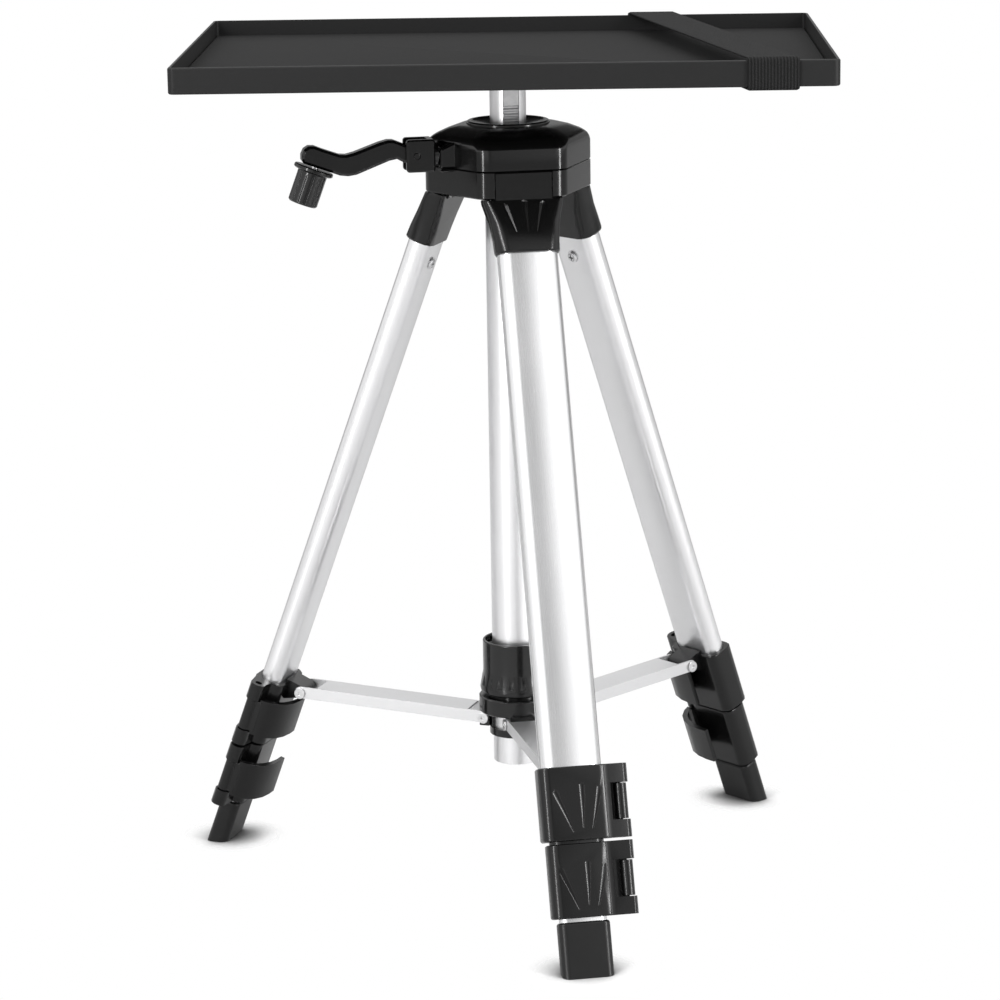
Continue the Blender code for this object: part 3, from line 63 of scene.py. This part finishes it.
def place_camera():
    """A long lens a little above the tray, rolled between what the tray and what the legs ask for."""
    column = Vector(JOINTS["tray_turn"]["pos_m"])
    eye = Vector((column.x + EYE_RIGHT, column.y - EYE_BACK, EYE_HEIGHT))
    yaw, pitch, roll = map(math.radians, (CAMERA_YAW, CAMERA_PITCH, CAMERA_ROLL))
    ahead = Vector((math.sin(yaw) * math.cos(pitch), math.cos(yaw) * math.cos(pitch), math.sin(pitch)))
    level = ahead.cross(Vector((0, 0, 1))).normalized()
    rise = level.cross(ahead)
    right = level * math.cos(roll) + rise * math.sin(roll)
    up = rise * math.cos(roll) - level * math.sin(roll)
    data = bpy.data.cameras.new("camera")
    data.sensor_width = SENSOR
    data.lens = SENSOR * FOCAL_RATIO
    data.shift_x = SHIFT_X
    data.clip_start = 0.1
    data.clip_end = 50
    camera = bpy.data.objects.new("camera", data)
    bpy.context.scene.collection.objects.link(camera)
    camera.matrix_world = Matrix.Translation(eye) @ Matrix((right, up, -ahead)).transposed().to_4x4()
    bpy.context.scene.camera = camera


place_camera()


# Shader building
class Wire:
    """A value in a material; arithmetic on it adds Math nodes."""

    def __init__(self, finish, socket):
        self.finish = finish
        self.socket = socket

    def math(self, operation, *values):
        return self.finish.make("ShaderNodeMath", {"operation": operation}, dict(enumerate(values)))

    def __add__(self, other):
        return self.math("ADD", self, other)

    __radd__ = __add__

    def __sub__(self, other):
        return self.math("SUBTRACT", self, other)

    def __rsub__(self, other):
        return self.math("SUBTRACT", other, self)

    def __mul__(self, other):
        return self.math("MULTIPLY", self, other)

    __rmul__ = __mul__

    def __truediv__(self, other):
        return self.math("DIVIDE", self, other)

    def sine(self):
        return self.math("SINE", self)

    def size(self):
        return self.math("ABSOLUTE", self)

    def least(self, other):
        return self.math("MINIMUM", self, other)

    def most(self, other):
        return self.math("MAXIMUM", self, other)

    def above(self, limit, soft):
        """0 below the limit, 1 above it, over a soft step."""
        return self.finish.make(
            "ShaderNodeMapRange",
            {"interpolation_type": "SMOOTHSTEP"},
            {0: self, 1: limit - soft, 2: limit + soft, 3: 0.0, 4: 1.0},
        )


class Finish:
    """A material under construction."""

    def __init__(self, name):
        self.material = bpy.data.materials.new(name)
        self.material.use_nodes = True
        self.tree = self.material.node_tree
        self.shader = self.tree.nodes["Principled BSDF"]
        self.place = self.make("ShaderNodeTexCoord", {}, {}, output="Object")

    def light_path(self, kind):
        return self.make("ShaderNodeLightPath", {}, {}, output=kind)

    def feed(self, socket, value):
        if isinstance(value, Wire):
            self.tree.links.new(value.socket, socket)
        else:
            socket.default_value = value

    def make(self, kind, settings, sockets, output=0):
        """Adds a node: its settings first, then the values and links of its sockets."""
        node = self.tree.nodes.new(kind)
        for key, value in settings.items():
            setattr(node, key, value)
        for key, value in sockets.items():
            self.feed(node.inputs[key], value)
        return Wire(self, node.outputs[output])

    def noise(self, scale, detail=2.0, rough=0.5, where=None):
        return self.make("ShaderNodeTexNoise", {}, {
            "Vector": where or self.place,
            "Scale": scale,
            "Detail": detail,
            "Roughness": rough,
        })

    def cells(self, scale, where=None):
        sockets = {"Vector": where or self.place, "Scale": scale}
        return self.make("ShaderNodeTexVoronoi", {}, sockets, output="Distance")

    def along(self, direction):
        """How far a point lies along a direction, in metres."""
        return self.make(
            "ShaderNodeVectorMath",
            {"operation": "DOT_PRODUCT"},
            {0: self.place, 1: tuple(direction)},
            output="Value",
        )

    def joined(self, x, y, z):
        return self.make("ShaderNodeCombineXYZ", {}, {0: x, 1: y, 2: z})

    def mix(self, share, dark, light):
        ends = [end if isinstance(end, Wire) else (*end, 1) for end in (dark, light)]
        return self.make("ShaderNodeMix", {"data_type": "RGBA"}, {0: share, 6: ends[0], 7: ends[1]}, output=2)

    def relief(self, height, strength, depth):
        normal = self.make("ShaderNodeBump", {}, {"Strength": strength, "Distance": depth, "Height": height})
        self.feed(self.shader.inputs["Normal"], normal)

    def set(self, **values):
        for key, value in values.items():
            self.feed(self.shader.inputs[key.replace("_", " ")], value)
        return self


def grey(level):
    return (level, level, level * 1.01)


# Finishes
def powder_coat():
    """Charcoal paint with a fine orange-peel grain."""
    finish = Finish("tray_powder_coat")
    grain = finish.noise(2600, 3, 0.6)
    broad = finish.noise(9, 2, 0.5)
    colour = finish.mix(grain * 0.35 + broad * 0.4, grey(0.0085), grey(0.015))
    finish.set(Base_Color=colour, Roughness=0.42 + 0.12 * grain, Specular_IOR_Level=0.2)
    finish.relief(grain, 0.35, 0.06 * MM)
    return finish.material


def foam_grain():
    """Charcoal foam sheet with a fine open grain."""
    finish = Finish("pad_foam")
    pores = finish.cells(1500)
    grain = finish.noise(1100, 4, 0.7)
    broad = finish.noise(6, 3, 0.6)
    speck = grain * 0.6 + pores * 0.5
    colour = finish.mix(speck * 0.8 + broad * 0.3 - 0.1, grey(0.0045), grey(0.017))
    finish.set(Base_Color=colour, Roughness=0.84 + 0.1 * grain, Specular_IOR_Level=0.14)
    finish.relief(speck, 0.6, 0.18 * MM)
    return finish.material


CORD_PITCH = 1.8 * MM
THREAD_PITCH = 0.9 * MM


def ribbed_elastic(direction):
    """Black woven elastic: cords across its width, threads along its length."""
    finish = Finish("strap_elastic")
    length = finish.along(direction)
    width = finish.along(Vector((0, 0, 1)).cross(direction))
    height = finish.along((0, 0, 1))
    cords = (width * (2 * math.pi / CORD_PITCH)).sine()
    threads = ((length + height) * (2 * math.pi / THREAD_PITCH)).sine()
    weave = cords * 0.5 + threads * 0.2
    fuzz = finish.noise(2200, 3, 0.6)
    colour = finish.mix(weave * 0.6 + fuzz * 0.35 + 0.2, grey(0.003), grey(0.024))
    finish.set(Base_Color=colour, Roughness=0.7 + 0.14 * fuzz, Specular_IOR_Level=0.12)
    finish.relief(weave + fuzz * 0.3, 0.9, 0.4 * MM)
    return finish.material


# Grain cells to the metre across and along a tube, for its drawing lines, and the lines' depth; a
# flat tube's face falls away from its middle by SWELL times the distance squared
LINES_ACROSS = 5200
LINES_ALONG = 38
LINE_DEPTH = 0.0006 * MM
SWELL = 4.5
# Width of the band of painted shade, dark and not metal, that stands in for the shadow in the gap above each
# lower clamp
PAINTED_SHADE_WIDTH = 4.0 * MM
LEG_SHEEN = {"front": 0.20, "right": 0.27, "left": 0.27}


def drawn_aluminium(name, down, across, centre=None, rough=0.24, tone=1.0, painted_shade_at=None):
    """Satin silver anodising with faint drawing lines.

    A flat tube's faces swell a little about its centre line, and a band of painted shade, dark and not metal,
    can lie round it, standing in for the shadow in a gap."""
    finish = Finish(name)
    down, across = Vector(down), Vector(across)
    through = down.cross(across)
    lines = finish.noise(1, 2, 0.55, where=finish.joined(
        finish.along(across) * LINES_ACROSS,
        finish.along(through) * LINES_ACROSS,
        finish.along(down) * LINES_ALONG,
    ))
    haze = finish.noise(14, 3, 0.5)
    colour = finish.mix(lines * 0.5 + haze * 0.5, grey(0.76 * tone), grey(0.86 * tone))
    metal = 1.0
    # Painted shade: a dark, non-metal band centred at the given point down the tube, standing in for the
    # shadow in the gap above the lower clamp
    if painted_shade_at is not None:
        metal = (finish.along(down) - painted_shade_at).size().above(PAINTED_SHADE_WIDTH / 2, 0.1 * MM)
        colour = finish.mix(metal, grey(0.004), colour)
    finish.set(Base_Color=colour, Metallic=metal, Roughness=rough + 0.08 * lines + 0.05 * haze)
    height = lines * LINE_DEPTH
    if centre is not None:
        offset = finish.along(across) - Vector(centre).dot(across)
        height = height - offset * offset * SWELL
    finish.relief(height, 1.0, 1.0)
    return finish.material


def moulded(name, level, shine, grain_depth, coat=0.0, specular=0.45):
    """Black moulded plastic: a fine spark-eroded grain and faint flow marks."""
    finish = Finish(name)
    grain = finish.noise(3200, 3, 0.6)
    flow = finish.noise(24, 3, 0.55)
    rubbed = finish.noise(160, 4, 0.62)
    colour = finish.mix(grain * 0.35 + flow * 0.5, grey(level * 0.75), grey(level * 1.3))
    rough = shine + 0.10 * grain + 0.08 * (rubbed - 0.5)
    finish.set(Base_Color=colour, Roughness=rough, Specular_IOR_Level=specular)
    if coat:
        finish.set(Coat_Weight=coat, Coat_Roughness=0.12)
    finish.relief(grain + flow * 0.3, 0.3, grain_depth)
    return finish.material


def bright_steel():
    """Zinc-plated steel with turning marks."""
    finish = Finish("zinc_steel")
    cloud = finish.noise(380, 4, 0.6)
    fine = finish.noise(4200, 2, 0.5)
    colour = finish.mix(cloud, (0.52, 0.52, 0.53), (0.74, 0.74, 0.74))
    finish.set(Base_Color=colour, Metallic=1.0, Roughness=0.22 + 0.14 * cloud + 0.06 * fine)
    finish.relief(fine, 0.15, 0.03 * MM)
    return finish.material


def leg_axes(name):
    """The directions down a leg and along its pivot."""
    slide = Vector(JOINTS[name + "_middle_slide"]["axis"])
    turn = Vector(JOINTS[name + "_leg_turn"]["axis"])
    return slide, turn


POWDER = powder_coat()
SATIN = moulded("satin_black_plastic", 0.0032, 0.16, 0.02 * MM, specular=0.36)
GLOSS = moulded("gloss_black_plastic", 0.0028, 0.14, 0.01 * MM, coat=0.25, specular=0.34)
RUBBER = moulded("foot_rubber", 0.0055, 0.28, 0.05 * MM, specular=0.30)
STEEL = bright_steel()
UPRIGHT_TUBE = drawn_aluminium("column_aluminium", (0, 0, 1), (1, 0, 0), rough=0.30)


def give(material, *names):
    """Puts one material on nodes, in place of their own."""
    for name in names:
        piece = NODES[name]
        piece.data.materials.clear()
        piece.data.materials.append(material)


give(POWDER, "tray")
give(GLOSS, "crown_base", "crown_cover", "column_collar", "hub", "lock_ring")
give(GLOSS, "crank_block", "crank_arm", "crank_knob", "fold_pin")
give(SATIN, "tray_mount", "tube_end_cap")
give(STEEL, "rack", "pinion_shaft", "knob_bolt", "tray_bolt")
give(UPRIGHT_TUBE, "column", "outer_tube")
for leg in LEGS:
    down, across = leg_axes(leg)
    centre = JOINTS[leg + "_leg_turn"]["pos_m"]
    sheen = LEG_SHEEN[leg]
    tube = drawn_aluminium(leg + "_leg_aluminium", down, across, centre, sheen)
    give(tube, leg + "_upper_tube", leg + "_lower_tube")
    # The middle tube gets a band of painted shade at the top of its lower clamp, for the shadow in the gap
    # between the clamps
    clamp = NODES[leg + "_lower_clamp"]
    top = min((clamp.matrix_world @ vert.co).dot(down) for vert in clamp.data.vertices)
    shade_banded_tube = drawn_aluminium(leg + "_middle_aluminium", down, across, centre, sheen, painted_shade_at=top)
    give(shade_banded_tube, leg + "_middle_tube")
    along = across.cross(Vector((0, 0, 1)))
    channel = drawn_aluminium(leg + "_brace_aluminium", along, across, rough=0.36, tone=0.80)
    give(channel, leg + "_brace")
    give(SATIN, leg + "_bracket", leg + "_upper_clamp", leg + "_lower_clamp")
    give(SATIN, leg + "_upper_lever", leg + "_lower_lever")
    give(RUBBER, leg + "_foot")
    give(STEEL, leg + "_hub_rivet", leg + "_leg_rivet", leg + "_pivot_pin")


# Moulded edges: the model's flat facets are joined and its sharp edges softened, by widths in millimetres
EDGE = {
    "crown_cover": 0.5,
    "crown_base": 0.5,
    "tray": 0.35,
    "column_collar": 0.35,
    "hub": 0.35,
    "lock_ring": 0.3,
    "crank_arm": 0.8,
    "crank_block": 0.5,
    "crank_knob": 0.4,
    "foot": 0.6,
    "brace": 0.2,
    "leg_rivet": 0.15,
    "hub_rivet": 0.15,
    "upper_clamp": 0.45,
    "lower_clamp": 0.45,
    "bracket": 0.5,
}
PLAIN_EDGE = 0.3
WELD_GAP = 0.004 * MM
FLAT_ANGLE = 0.6
BEVEL_ANGLE, CLAMP_BEVEL_ANGLE = 32, 46
SHARP_ANGLE, CLAMP_SHARP_ANGLE = 40, 55


def soften(name, piece):
    """Welds the facets, merges flat ones, rounds the sharp edges and shades the rest smooth."""
    weld = piece.modifiers.new("weld", "WELD")
    weld.merge_threshold = WELD_GAP
    flat = piece.modifiers.new("flat", "DECIMATE")
    flat.decimate_type = "DISSOLVE"
    flat.angle_limit = math.radians(FLAT_ANGLE)
    first, _, rest = name.partition("_")
    kind = rest if first in LEGS else name
    clamp = kind.endswith("clamp")
    bevel = piece.modifiers.new("edges", "BEVEL")
    bevel.width = EDGE.get(kind, PLAIN_EDGE) * MM
    bevel.segments = 2
    bevel.limit_method = "ANGLE"
    bevel.angle_limit = math.radians(CLAMP_BEVEL_ANGLE if clamp else BEVEL_ANGLE)
    bevel.use_clamp_overlap = True
    shade = piece.modifiers.new("shade", "WEIGHTED_NORMAL")
    shade.mode = "FACE_AREA"
    shade.weight = 80
    shade.keep_sharp = True
    piece.data.shade_smooth()
    piece.data.set_sharp_from_angle(angle=math.radians(CLAMP_SHARP_ANGLE if clamp else SHARP_ANGLE))


# The gear's teeth stay sharp, and the two soft solids are replaced below
PLAIN = {"rack", "pinion_shaft", "tray_pad", "strap"}
for name, piece in NODES.items():
    if name in PLAIN:
        piece.data.shade_flat()
    else:
        soften(name, piece)


# Soft pieces and screws
def new_piece(name, shape, material, body):
    """A smooth mesh of one material that rides on a body."""
    mesh = bpy.data.meshes.new(name)
    shape.to_mesh(mesh)
    shape.free()
    mesh.materials.append(material)
    mesh.shade_smooth()
    piece = bpy.data.objects.new(name, mesh)
    bpy.context.scene.collection.objects.link(piece)
    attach(piece, body)
    return piece


def bridge(shape, loops, closed=False):
    """Faces between each ring of points and the next."""
    following = loops[1:] + loops[:1] if closed else loops[1:]
    for low, high in zip(loops, following):
        for i in range(len(low)):
            k = (i + 1) % len(low)
            shape.faces.new((low[i], low[k], high[k], high[i]))
    return shape


# Pad
PAD_CORNER = 2.0 * MM
PAD_EDGE = 0.9 * MM


def make_pad():
    """A foam sheet with round corners and a soft upper edge."""
    low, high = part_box("tray_pad")
    middle = (low + high) / 2
    size = high - low
    shape = bmesh.new()
    matrix = Matrix.Translation(middle) @ Matrix.Diagonal((size.x, size.y, size.z, 1))
    bmesh.ops.create_cube(shape, size=1, matrix=matrix)
    upright = [edge for edge in shape.edges if abs((edge.verts[0].co - edge.verts[1].co).z) > size.z / 2]
    bmesh.ops.bevel(shape, geom=upright, offset=PAD_CORNER, segments=4, affect="EDGES", profile=0.5)
    rim = [edge for edge in shape.edges if min(vert.co.z for vert in edge.verts) > high.z - 0.1 * MM]
    bmesh.ops.bevel(shape, geom=rim, offset=PAD_EDGE, segments=3, affect="EDGES", profile=0.5)
    pad = new_piece("foam_pad", shape, foam_grain(), "tray_group")
    pad.data.set_sharp_from_angle(angle=math.radians(50))
    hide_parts("tray_pad")


# Strap: a stretched elastic loop. Its section is rounded over ROUND_SHARE of its half width,
# down to EDGE_THICK of its thickness, and its relaxed length is RELAXED of the drawn loop's.
STRAP_NODE_WIDTH = 29.4 * MM
BAND_WIDTH = 29.2 * MM
BAND_THICK = 1.5 * MM
BAND_GAP = 0.05 * MM
BAND_CORNER = 1.9 * MM
BAND_STEPS, CORNER_STEPS, SECTION_STEPS = 900, 6, 24
ROUND_SHARE = 0.06
EDGE_THICK = 0.25
RELAXED = 0.985


def strap_path(low, high, gap, corner, steps):
    """The loop's middle line in the YZ plane, anticlockwise, with round corners at the tray's rims."""
    points = []
    y0, y1, z0, z1 = low.y + gap, high.y - gap, low.z + gap, high.z - gap
    turns = (
        (y1 - corner, z0 + corner, -90),
        (y1 - corner, z1 - corner, 0),
        (y0 + corner, z1 - corner, 90),
        (y0 + corner, z0 + corner, 180),
    )
    for y, z, start in turns:
        for i in range(steps + 1):
            angle = math.radians(start + 90 * i / steps)
            points.append(Vector((y + corner * math.cos(angle), z + corner * math.sin(angle))))
    return points


def resample(points, count):
    """Evenly spaced points round a closed line."""
    lengths = [(points[(i + 1) % len(points)] - points[i]).length for i in range(len(points))]
    total = sum(lengths)
    result = []
    for i in range(count):
        target = total * i / count
        at = 0
        while target > lengths[at]:
            target -= lengths[at]
            at += 1
        start, end = points[at], points[(at + 1) % len(points)]
        result.append(start.lerp(end, target / lengths[at]))
    return result, total


def band_section():
    """The band's closed outline across its width."""
    upper = []
    for i in range(SECTION_STEPS + 1):
        t = i / SECTION_STEPS * 2 - 1
        past = max(0.0, (abs(t) - 1 + ROUND_SHARE) / ROUND_SHARE)
        fullness = math.sqrt(max(0.0, 1 - past ** 2))
        upper.append((t * BAND_WIDTH / 2, BAND_THICK / 2 * (EDGE_THICK + (1 - EDGE_THICK) * fullness)))
    return upper + [(x, -thick) for x, thick in reversed(upper)]


def make_strap():
    """The section swept round the tray, leaning sideways by the slope of the CAD's strap."""
    low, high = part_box("strap")
    path = strap_path(low, high, BAND_THICK / 2 + BAND_GAP, BAND_CORNER, CORNER_STEPS)
    line, length = resample(path, BAND_STEPS)
    slope = (high.x - low.x - STRAP_NODE_WIDTH) / (high.y - low.y)
    middle_x, middle_y = (low.x + high.x) / 2, (low.y + high.y) / 2
    section = band_section()
    shape = bmesh.new()
    loops = []
    for i, point in enumerate(line):
        before, after = line[i - 1], line[(i + 1) % len(line)]
        along = (after - before).normalized()
        outward = Vector((along.y, -along.x))
        loop = []
        for x, thick in section:
            y = point.x + outward.x * thick
            z = point.y + outward.y * thick
            loop.append(shape.verts.new((middle_x + x - (y - middle_y) * slope, y, z)))
        loops.append(loop)
    bridge(shape, loops, closed=True)
    bmesh.ops.recalc_face_normals(shape, faces=shape.faces)
    slant = math.atan(slope)
    direction = Vector((-math.sin(slant), math.cos(slant), 0))
    band = new_piece("strap_band", shape, ribbed_elastic(direction), "tray_group")
    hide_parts("strap")
    flat = (BAND_WIDTH * math.cos(slant), length / math.cos(slant) * RELAXED)


make_pad()
make_strap()


# Screws: a steel pan head with a cross recess drawn as painted shade, on the inner side of each upper tube,
# placed from the axis that the leg turns on; the head's outline is given as radius and rise in millimetres
SCREW_OUT = 12.7 * MM
SCREW_UP = 293.1 * MM
HEAD = ((3.8, 0.0), (3.8, 0.5), (3.5, 1.1), (2.8, 1.5), (1.6, 1.75), (0.6, 1.85))
HEAD_SIDES = 28
CROSS_REACH = 1.9 * MM
CROSS_HALF_WIDTH = 0.45 * MM


def screw_steel(name, centre, down, across):
    """Zinc-plated steel with a cross of painted shade, dark and not metal, for the recess in the middle of
    the head.
    """
    finish = Finish(name)
    cloud = finish.noise(500, 3, 0.6)
    one = (finish.along(down) - Vector(centre).dot(down)).size()
    other = (finish.along(across) - Vector(centre).dot(across)).size()
    # The cross recess is painted shade: inside the cross the colour turns near black and not metal, with a
    # bump, in place of a cut in the mesh
    reach = one.most(other).above(CROSS_REACH, 0.15 * MM)
    arm = one.least(other).above(CROSS_HALF_WIDTH, 0.12 * MM)
    metal = reach.most(arm)
    colour = finish.mix(metal * (0.7 + 0.3 * cloud), (0.03, 0.03, 0.03), (0.86, 0.86, 0.87))
    finish.set(Base_Color=colour, Metallic=1.0, Roughness=0.30 + 0.12 * cloud)
    finish.relief(metal, 1.0, 0.5 * MM)
    return finish.material


def make_screw(leg):
    """The head's outline turned round its axis, rising inward from the tube."""
    down, across = leg_axes(leg)
    out = down.cross(across)
    centre = Vector(JOINTS[leg + "_leg_turn"]["pos_m"]) + out * SCREW_OUT - down * SCREW_UP
    shape = bmesh.new()
    loops = []
    for radius, rise in HEAD:
        loop = []
        for i in range(HEAD_SIDES):
            turn = 2 * math.pi * i / HEAD_SIDES
            side = down * math.cos(turn) + across * math.sin(turn)
            loop.append(shape.verts.new(centre - out * rise * MM + side * radius * MM))
        loops.append(loop)
    bridge(shape, loops)
    shape.faces.new(loops[-1])
    shape.faces.new(loops[0][::-1])
    bmesh.ops.recalc_face_normals(shape, faces=shape.faces)
    steel = screw_steel(leg + "_screw_steel", centre, down, across)
    new_piece(leg + "_screw", shape, steel, leg + "_leg_group")


for leg in LEGS:
    make_screw(leg)


# Floor: how far its painted shadow reaches under a foot, where it turns clear round each foot, and its
# brightness
SHADOW_REACH = 22 * MM
CLEAR_FROM, CLEAR_SOFT = 26 * MM, 12 * MM
FLOOR_SEEN, FLOOR_MIRRORED = 0.95, 0.62
FLOOR_HALF = 12
FLOOR_DROP = 0.2 * MM


def floor_finish():
    """A lit matt surface in reflections and round the feet, where their real shadows fall, with painted
    shadow close under each foot from ambient occlusion.

    Elsewhere the camera sees through it to the white room, and so to a leg that is drawn out below it."""
    finish = Finish("floor_white")
    camera = finish.light_path("Is Camera Ray")
    # Painted shadow: for camera rays the floor's colour darkens with the square of ambient occlusion near the
    # feet, over the real shadows
    open_sky = finish.make(
        "ShaderNodeAmbientOcclusion",
        {"samples": 12},
        {"Distance": SHADOW_REACH},
        output="AO",
    )
    seen = open_sky * open_sky * FLOOR_SEEN
    colour = finish.mix(camera * seen + (1 - camera) * FLOOR_MIRRORED, (0, 0, 0), (1, 1, 1))
    finish.set(Base_Color=colour, Roughness=0.9, Specular_IOR_Level=0.0)
    far = None
    for leg in LEGS:
        low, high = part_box(leg + "_foot")
        middle = (low + high) / 2
        gap = finish.make(
            "ShaderNodeVectorMath",
            {"operation": "DISTANCE"},
            {0: finish.place, 1: (middle.x, middle.y, 0)},
            output="Value",
        )
        share = gap.above(CLEAR_FROM, CLEAR_SOFT)
        far = share if far is None else far.least(share)
    clear = finish.make("ShaderNodeBsdfTransparent", {}, {})
    lit = Wire(finish, finish.shader.outputs[0])
    shown = finish.make("ShaderNodeMixShader", {}, {0: camera * far, 1: lit, 2: clear})
    finish.feed(finish.tree.nodes["Material Output"].inputs["Surface"], shown)
    return finish.material


def make_floor():
    mesh = bpy.data.meshes.new("floor")
    shape = bmesh.new()
    bmesh.ops.create_grid(shape, x_segments=1, y_segments=1, size=FLOOR_HALF)
    shape.to_mesh(mesh)
    shape.free()
    floor = bpy.data.objects.new("floor", mesh)
    bpy.context.scene.collection.objects.link(floor)
    mesh.transform(Matrix.Translation((0, 0, -FLOOR_DROP)))
    mesh.materials.append(floor_finish())


# Room and lamps: turns round the stand run from -1 to 1, with 0 in front of it
BACK_FROM, BACK_SOFT = 0.66, 0.10
STRIP_AT, STRIP_HALF, STRIP_SOFT = 0.07, 0.06, 0.04
STRIP_LIGHT = 0.35
ROOM_LIGHT, BACK_SHADE = 1.12, 0.80
FADE_HEIGHT, FADE_SOFT = 0.28, 0.16
FILL_LIGHT = 0.6


def lamp(name, at, aim, width, height, power):
    """A rectangular lamp; places and sizes in metres, power in watts."""
    data = bpy.data.lights.new(name, "AREA")
    data.shape = "RECTANGLE"
    data.size = width
    data.size_y = height
    data.energy = power
    item = bpy.data.objects.new(name, data)
    item.location = at
    item.rotation_euler = (Vector(aim) - Vector(at)).to_track_quat("-Z", "Y").to_euler()
    bpy.context.scene.collection.objects.link(item)


class Sky(Finish):
    """The room round the stand: plain white to the camera, with darker parts for the metal to show."""

    def __init__(self):
        self.material = bpy.data.worlds.new("studio")
        self.material.use_nodes = True
        self.tree = self.material.node_tree
        self.place = self.make("ShaderNodeTexCoord", {}, {}, output="Generated")


def make_sky():
    """Reflections see the room darker behind the stand and in a narrow strip in front of it."""
    sky = Sky()
    bpy.context.scene.world = sky.material
    side = sky.along((1, 0, 0))
    behind = sky.along((0, 1, 0))
    turn = side.math("ARCTAN2", side, 0 - behind) / math.pi
    near_level = 1 - sky.along((0, 0, 1)).above(FADE_HEIGHT, FADE_SOFT)
    back = turn.size().above(BACK_FROM, BACK_SOFT) * near_level
    beside_strip = (turn - STRIP_AT).size().above(STRIP_HALF, STRIP_SOFT)
    room = (STRIP_LIGHT + (1 - STRIP_LIGHT) * beside_strip) * (ROOM_LIGHT - BACK_SHADE * back)
    camera = sky.light_path("Is Camera Ray")
    glossy = sky.light_path("Is Glossy Ray")
    level = camera + glossy * room + (1 - camera.most(glossy)) * FILL_LIGHT
    background = sky.tree.nodes["Background"]
    sky.feed(background.inputs[0], (1, 1, 1, 1))
    sky.feed(background.inputs[1], level)


make_floor()
make_sky()
lamp("key", (-1.6, -1.5, 2.2), (0, 0, 0.3), 1.2, 1.2, 30)
lamp("fill", (1.9, -1.2, 1.4), (0, 0, 0.25), 0.9, 1.8, 16)
lamp("top", (0.1, 0.5, 2.6), (0, 0, 0.2), 2.0, 1.6, 20)
lamp("left_strip", (-1.3, -1.7, 0.9), (0, 0, 0.3), 0.16, 1.8, 22)
lamp("right_strip", (1.5, -0.9, 0.9), (0, 0, 0.3), 0.16, 1.8, 22)
bpy.context.scene.view_settings.view_transform = "Standard"
